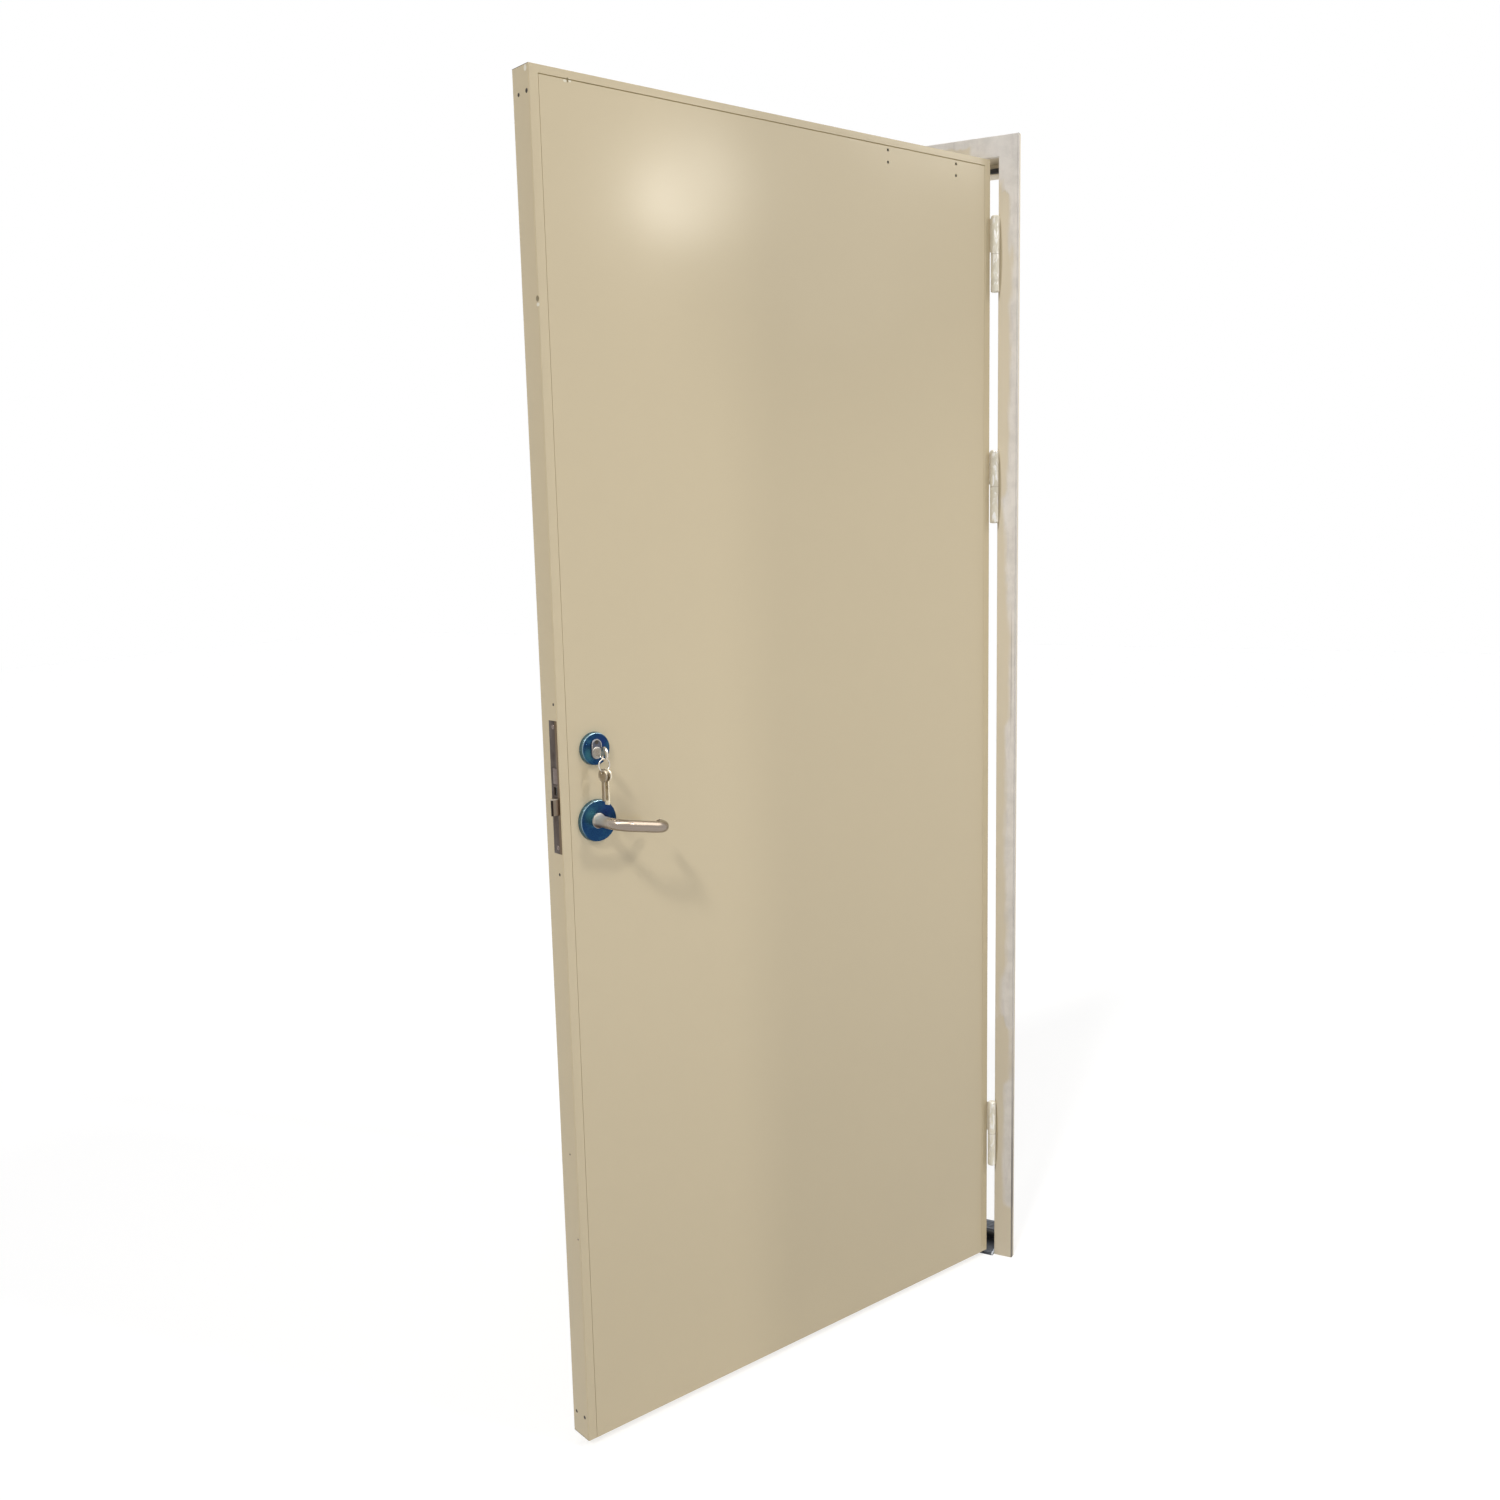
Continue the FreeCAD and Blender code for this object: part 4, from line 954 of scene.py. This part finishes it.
def split_ring():
    """Double-wound ring of wire."""
    low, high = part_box("key_ring")
    centre = on_leaf(U_LOCK, RING_OUT, (low.z + high.z) / 2)
    top = centre + Z_UP * ((high.z - low.z) / 2 - 0.0008)
    wire = bpy.context.scene.door_sizes.ring_wire
    bm = bmesh.new()
    bmesh.ops.create_circle(bm, cap_ends=True, radius=wire, segments=10, matrix=Matrix.Translation(top))
    moved(bm, (0, -wire * 0.45, 0))
    turned(bm, QUARTER, "Y", top)
    bmesh.ops.spin(bm, geom=list(bm.faces), cent=centre, axis=(0, 1, 0), dvec=(0, wire / 60, 0),
                   angle=math.radians(690), steps=115, use_merge=False)
    bmesh.ops.recalc_face_normals(bm, faces=bm.faces)
    piece("key_ring_wire", bm, "hanging_keys", "ring_wire", 60.0, True, ("key_ring",))


def set_on_leaf(bm, place):
    """Moves a mesh from the origin to a point of the closed leaf, then opens it with the leaf."""
    moved(bm, place)
    bmesh.ops.recalc_face_normals(bm, faces=bm.faces)
    bmesh.ops.transform(bm, matrix=LEAF, verts=bm.verts)


def hanging_key(node, shift, yaw, blade, teeth, finish_name):
    """Spare key with broken edges, rims round its bow, a groove and cut teeth."""
    low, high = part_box(node)
    bow_z = high.z - SPARE_BOW
    bm = bow_rims(SPARE_BOW, SPARE_THICK)
    add(bm, blade_cuts(blade, -SPARE_BOW, bow_z - low.z - SPARE_BOW, SPARE_THICK, teeth))
    turned(bm, math.radians(yaw), "Z")
    set_on_leaf(bm, on_leaf(U_LOCK + shift, RING_OUT, bow_z))
    add(bm, broken_edges(node, 0.0003, 1))
    piece(node + "_cut", bm, "hanging_keys", finish_name, 30.0, replaces=(node,))


def turned_key():
    """Key in the cylinder, with rims round its bow."""
    bm = bow_rims(KEY_BOW, KEY_THICK)
    set_on_leaf(bm, on_leaf(U_LOCK, RING_OUT, Z_PLUG))
    add(bm, broken_edges("key", 0.0004))
    piece("key_shown", bm, "key_and_plug", "key_bright", 30.0, replaces=("key",))


def cylinder_face():
    """Round recess over the plug drawn as a thin disc of painted shade, the raised rim of the oval face, and
    the plug's worn rim.
    """
    recess = [(0.0, 0.00010), (0.0026, 0.00012), (0.0031, 0.00030), (0.0034, 0.00004)]
    bm = spun(recess, on_leaf(U_LOCK, CYL_FACE, Z_CYL + 0.0105), (0, -1, 0), 28)
    piece("cylinder_recess", bm, "leaf", "dark_recess", leaf=True)
    bm = bmesh.new()
    half = (CYL_TALL - CYL_W) / 2
    made = bmesh.ops.create_circle(bm, cap_ends=True, radius=CYL_W / 2 - 0.0006, segments=48,
                                   matrix=Matrix.Rotation(QUARTER, 4, "X"))
    for vert in made["verts"]:
        vert.co.z += math.copysign(half, vert.co.z)
    inner = list(bm.faces)
    bmesh.ops.inset_individual(bm, faces=inner, thickness=0.0011)
    bmesh.ops.delete(bm, geom=inner, context="FACES_ONLY")
    made = bmesh.ops.extrude_face_region(bm, geom=list(bm.faces))
    raised = [g for g in made["geom"] if isinstance(g, bmesh.types.BMVert)]
    bmesh.ops.translate(bm, vec=(0, -0.0004, 0), verts=raised)
    moved(bm, on_leaf(U_LOCK, CYL_FACE + 0.0001, Z_CYL))
    bmesh.ops.recalc_face_normals(bm, faces=bm.faces)
    piece("cylinder_rim", bm, "leaf", "satin_nickel", leaf=True)
    rim = [(0.0066, 0.0), (0.0068, 0.00035), (0.0076, 0.00045), (0.0082, 0.0)]
    bm = spun(rim, on_leaf(U_LOCK, CYL_FACE, Z_PLUG), (0, -1, 0), 40)
    piece("plug_rim", bm, "leaf", "satin_nickel", leaf=True)


def neck_rings():
    """Thin steel collars where the levers leave their roses."""
    low, high = ROSE_H - 0.0002, ROSE_H + 0.0003
    profile = [(0.0091, low), (0.0112, low), (0.0115, ROSE_H), (0.0111, high), (0.0091, high)]
    for name, out, face in (("outside", -1, 0.0), ("inside", 1, LEAF_T)):
        bm = spun(profile, on_leaf(U_LOCK, face, Z_LEVER), (0, out, 0), 48)
        piece("neck_ring_" + name, bm, "leaf", "satin_nickel", leaf=True)


def sill_nose():
    """Rounded front edge of the threshold plate, a little in front of the jambs."""
    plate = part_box("threshold")[0].y
    front = Y_FACE - 0.008
    bm = box_bm((0.0001 - X_JAMB, front, 0.0), (X_JAMB - 0.0001, plate + 0.0005, 0.0045))
    upper = [e for e in bm.edges if all(v.co.y < front + 0.0001 and v.co.z > 0.004 for v in e.verts)]
    round_off(bm, upper, 0.003, 4)
    piece("sill_nose", bm, "frame", "sill_steel")


def sill_ribs():
    """Raised anti-slip ribs on the threshold's stop."""
    low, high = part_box("threshold")
    bm = bmesh.new()
    for k in range(4):
        y = Y_FACE + RIB_START + RIB_STEP * k
        start = (low.x + 0.022, y - 0.0012, high.z - 0.0003)
        rib = box_bm(start, (high.x - 0.022, y + 0.0012, high.z + 0.0006))
        ends = [(e, [v.co for v in e.verts]) for e in rib.edges]
        upper = [e for e, (a, b) in ends if abs(a.x - b.x) > 0.1 and a.z > high.z]
        round_off(rib, upper, 0.0006, 2)
        add(bm, rib)
    piece("sill_ribs", bm, "frame", "sill_steel")


class DOOR_OT_leaf(bpy.types.Operator):
    """Painted leaf: folded tray, front sheet and the small holes in its lock edge, drawn as discs of painted
    shade
    """
    bl_idname = "door.leaf"
    bl_label = "Leaf"

    def execute(self, context):
        soft = context.scene.door_sizes.edge_softness
        softened("leaf_tray", "leaf", "leaf_paint", soft * 0.5, 1, 60.0)
        softened("leaf_front_sheet", "leaf", "leaf_paint", soft * 0.5, 1, 60.0)
        dress("leaf_core", "mineral_wool")
        dress("closer_plate", "zinc_plate")
        edge_dimples()
        fold_corners()
        return {"FINISHED"}


class DOOR_OT_frame(bpy.types.Operator):
    """Jambs, head, threshold, strike plate and their screws"""
    bl_idname = "door.frame"
    bl_label = "Frame"

    def execute(self, context):
        for node in ("jamb_hinge_side", "jamb_lock_side", "frame_head"):
            dress(node, "frame_paint")
        dress("threshold", "sill_steel")
        dress("strike_plate", "strike_steel")
        dress("strike_box", "zinc_plate")
        strike_screws()
        frame_screws()
        sill_nose()
        sill_ribs()
        return {"FINISHED"}


class DOOR_OT_seals(bpy.types.Operator):
    """Rubber seals in the rebate"""
    bl_idname = "door.seals"
    bl_label = "Seals"

    def execute(self, context):
        for node in ("seal_hinge_side", "seal_lock_side", "seal_head", "seal_threshold"):
            dress(node, "seal_rubber")
        return {"FINISHED"}


class DOOR_OT_hinges(bpy.types.Operator):
    """Lift-off hinges with worn paint, bearing washers and wing screws"""
    bl_idname = "door.hinges"
    bl_label = "Hinges"

    def execute(self, context):
        for place in HINGES:
            dress("hinge_lower_" + place, "knuckle_paint")
            dress("hinge_upper_" + place, "knuckle_paint")
            dress("hinge_pin_" + place, "bolt_steel")
            hinge_rings(place)
            hinge_screws(place)
        return {"FINISHED"}


class DOOR_OT_lock(bpy.types.Operator):
    """Forend with its screws, latch, dead bolt and lock case"""
    bl_idname = "door.lock"
    bl_label = "Lock"

    def execute(self, context):
        softened("lock_forend", "leaf", "forend_steel", 0.0003, 2)
        dress("lock_case", "zinc_plate")
        softened("latch_bolt", "latch", "latch_steel", 0.0006, 2)
        softened("dead_bolt", "deadbolt", "dead_bolt_steel", 0.0006, 2)
        forend_screws()
        return {"FINISHED"}


class DOOR_OT_roses(bpy.types.Operator):
    """Round roses: filmed outside, plain steel inside"""
    bl_idname = "door.roses"
    bl_label = "Roses"

    def execute(self, context):
        dress("rose_lever_outside", "film_lever")
        dress("rose_cylinder_outside", "film_cylinder")
        dress("rose_lever_inside", "rose_steel")
        dress("rose_turn_inside", "rose_steel")
        neck_rings()
        return {"FINISHED"}


class DOOR_OT_levers(bpy.types.Operator):
    """Tubular return levers on both sides and the inside turn"""
    bl_idname = "door.levers"
    bl_label = "Levers"

    def execute(self, context):
        lever_bar(-1)
        lever_bar(1)
        dress("spindle", "zinc_plate")
        softened("thumb_turn", "turn", "rose_steel", 0.0008, 3)
        return {"FINISHED"}


class DOOR_OT_keys(bpy.types.Operator):
    """Oval cylinder, the key in it and the keys that hang from its ring"""
    bl_idname = "door.keys"
    bl_label = "Cylinder and keys"

    def execute(self, context):
        softened("cylinder_body", "leaf", "cylinder_steel", 0.0)
        dress("cylinder_plug", "satin_nickel")
        turned_key()
        cylinder_face()
        split_ring()
        hanging_key("spare_key_plain", 0.003, 4.0, 0.006, 0, "key_dark")
        hanging_key("spare_key_toothed", -0.003, 15.0, 0.0075, 9, "key_brass")
        return {"FINISHED"}


class DOOR_OT_stage(bpy.types.Operator):
    """Pale floor, soft studio light and the camera"""
    bl_idname = "door.stage"
    bl_label = "Stage"

    def execute(self, context):
        scene = context.scene
        scene.view_settings.view_transform = "Standard"
        bm = bmesh.new()
        place = Matrix.Translation((0, 0, -0.0005))
        bmesh.ops.create_grid(bm, x_segments=1, y_segments=1, size=14.0, matrix=place)
        mesh = bpy.data.meshes.new("floor")
        bm.to_mesh(mesh)
        bm.free()
        floor = bpy.data.objects.new("floor", mesh)
        scene.collection.objects.link(floor)
        mesh.materials.append(self.floor_finish())
        self.surroundings(scene)
        self.lamps(scene)
        self.camera(scene)
        return {"FINISHED"}

    def floor_finish(self):
        """Pale floor that shows the shadow on white."""
        f = Finish("floor", (0.80, 0.80, 0.79), 0.7)
        out = f.nodes["Material Output"]
        seen = f.nodes.new("ShaderNodeBsdfDiffuse")
        seen.inputs["Color"].default_value = (0.42, 0.42, 0.42, 1)
        white = f.nodes.new("ShaderNodeEmission")
        white.inputs["Color"].default_value = (1, 1, 1, 1)
        white.inputs["Strength"].default_value = 0.64
        both = f.nodes.new("ShaderNodeAddShader")
        f.links.new(seen.outputs[0], both.inputs[0])
        f.links.new(white.outputs[0], both.inputs[1])
        mixed = f.nodes.new("ShaderNodeMixShader")
        f.links.new(self.seen_directly(f.nodes, f.links), mixed.inputs[0])
        f.links.new(f.shader.outputs[0], mixed.inputs[1])
        f.links.new(both.outputs[0], mixed.inputs[2])
        f.links.new(mixed.outputs[0], out.inputs["Surface"])
        return f.mat

    def seen_directly(self, nodes, links):
        """1 where the eye, a polished surface or glass looks at the surroundings."""
        path = nodes.new("ShaderNodeLightPath")
        total = path.outputs["Is Camera Ray"]
        for name in ("Is Glossy Ray", "Is Transmission Ray"):
            node = nodes.new("ShaderNodeMath")
            node.operation = "MAXIMUM"
            links.new(total, node.inputs[0])
            links.new(path.outputs[name], node.inputs[1])
            total = node.outputs[0]
        return total

    def surroundings(self, scene):
        """White where it is looked at, soft blue-grey light elsewhere."""
        world = bpy.data.worlds.new("studio")
        world.use_nodes = True
        scene.world = world
        nodes, links = world.node_tree.nodes, world.node_tree.links
        shown = nodes["Background"]
        out = nodes["World Output"]
        shown.inputs["Color"].default_value = (0.80, 0.82, 0.86, 1)
        shown.inputs["Strength"].default_value = 0.42
        white = nodes.new("ShaderNodeBackground")
        white.inputs["Color"].default_value = (1, 1, 1, 1)
        white.inputs["Strength"].default_value = 1.0
        mixed = nodes.new("ShaderNodeMixShader")
        links.new(self.seen_directly(nodes, links), mixed.inputs[0])
        links.new(shown.outputs[0], mixed.inputs[1])
        links.new(white.outputs[0], mixed.inputs[2])
        links.new(mixed.outputs[0], out.inputs["Surface"])

    def lamps(self, scene):
        """Three suns, then oval glows whose long side lies along a given line."""
        for name, toward, strength, spread, colour in (
            ("front_light", (0.065, -0.684, 0.726), 1.28, 7.0, (1.0, 0.98, 0.95)),
            ("right_light", (0.740, 0.099, 0.665), 0.62, 7.0, (1.0, 0.97, 0.92)),
            ("back_light", (-0.55, 0.72, 0.42), 0.75, 40.0, (0.97, 0.98, 1.0)),
        ):
            lamp = bpy.data.lights.new(name, "SUN")
            lamp.energy = strength
            lamp.angle = math.radians(spread)
            lamp.color = colour
            obj = bpy.data.objects.new(name, lamp)
            scene.collection.objects.link(obj)
            obj.rotation_euler = Vector(toward).to_track_quat("Z", "Y").to_euler()
        steep, level = (-0.625, 0.389, 0.677), (0.382683, 0.92388, 0.0)
        for name, wide, tall, energy, place, target, along, lights_paint in (
            ("ceiling_glow", 0.30, 0.30, 2.6, (3.04, 0.036, 2.545), (0.198, -0.678, 1.915), steep, True),
            ("side_glow", 0.60, 0.60, 0.5, (3.10, 0.607, 2.342), (0.315, -0.396, 1.843), steep, True),
            ("wall_glow", 3.8, 2.2, 62.0, (2.63, 1.60, 4.00), (0.197, -0.832, 0.99), steep, True),
            ("roof_glow", 3.6, 1.4, 62.0, (1.272, -1.764, 3.63), (0.197, -0.832, 0.99), level, False),
        ):
            glow = bpy.data.lights.new(name, "AREA")
            glow.shape = "ELLIPSE"
            glow.size = wide
            glow.size_y = tall
            glow.energy = energy
            glow.color = (1.0, 0.96, 0.88)
            glow.use_shadow = False
            obj = bpy.data.objects.new(name, glow)
            scene.collection.objects.link(obj)
            ahead = (Vector(place) - Vector(target)).normalized()
            up = ahead.cross(Vector(along)).normalized()
            along = up.cross(ahead)
            obj.matrix_world = Matrix.Translation(place) @ Matrix((along, up, ahead)).transposed().to_4x4()
            obj.visible_diffuse = lights_paint

    def camera(self, scene):
        data = bpy.data.cameras.new("camera")
        data.sensor_width = SENSOR
        data.lens = FOCAL / PICTURE * SENSOR
        data.shift_x = (PICTURE / 2 - CENTRE_X) / PICTURE
        data.shift_y = (CENTRE_Y - PICTURE / 2) / PICTURE
        cam = bpy.data.objects.new("camera", data)
        scene.collection.objects.link(cam)
        turn = Matrix.Rotation(TURN_Y, 3, "Y") @ Matrix.Rotation(TURN_X, 3, "X")
        turn = turn @ Matrix.Rotation(TURN_Z, 3, "Z")
        right, ahead, up = turn.col[0], turn.col[1], turn.col[2]
        turn = Matrix((right, up, -ahead)).transposed().to_4x4()
        cam.matrix_world = Matrix.Translation(CAMERA_PLACE) @ turn
        scene.camera = cam


class DOOR_PT_panel(bpy.types.Panel):
    """Lists the door's pieces, sizes and colours"""
    bl_label = "Steel utility door"
    bl_idname = "DOOR_PT_panel"
    bl_space_type = "VIEW_3D"
    bl_region_type = "UI"
    bl_category = "Door"

    def draw(self, context):
        column = self.layout.column()
        for group in (context.scene.door_sizes, context.scene.door_colours):
            for name in group.__annotations__:
                column.prop(group, name)
        for operator in OPERATORS:
            column.operator(operator.bl_idname)


OPERATORS = (DOOR_OT_leaf, DOOR_OT_frame, DOOR_OT_seals, DOOR_OT_hinges, DOOR_OT_lock, DOOR_OT_roses,
             DOOR_OT_levers, DOOR_OT_keys, DOOR_OT_stage)
CLASSES = (DoorSizes, DoorColours, *OPERATORS, DOOR_PT_panel)


def register():
    for cls in CLASSES:
        bpy.utils.register_class(cls)
    bpy.types.Scene.door_sizes = bpy.props.PointerProperty(type=DoorSizes)
    bpy.types.Scene.door_colours = bpy.props.PointerProperty(type=DoorColours)


def unregister():
    del bpy.types.Scene.door_sizes
    del bpy.types.Scene.door_colours
    for cls in reversed(CLASSES):
        bpy.utils.unregister_class(cls)


def main():
    register()
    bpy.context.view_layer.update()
    bpy.ops.door.leaf()
    bpy.ops.door.frame()
    bpy.ops.door.seals()
    bpy.ops.door.hinges()
    bpy.ops.door.lock()
    bpy.ops.door.roses()
    bpy.ops.door.levers()
    bpy.ops.door.keys()
    bpy.ops.door.stage()


if __name__ == "__main__":
    main()
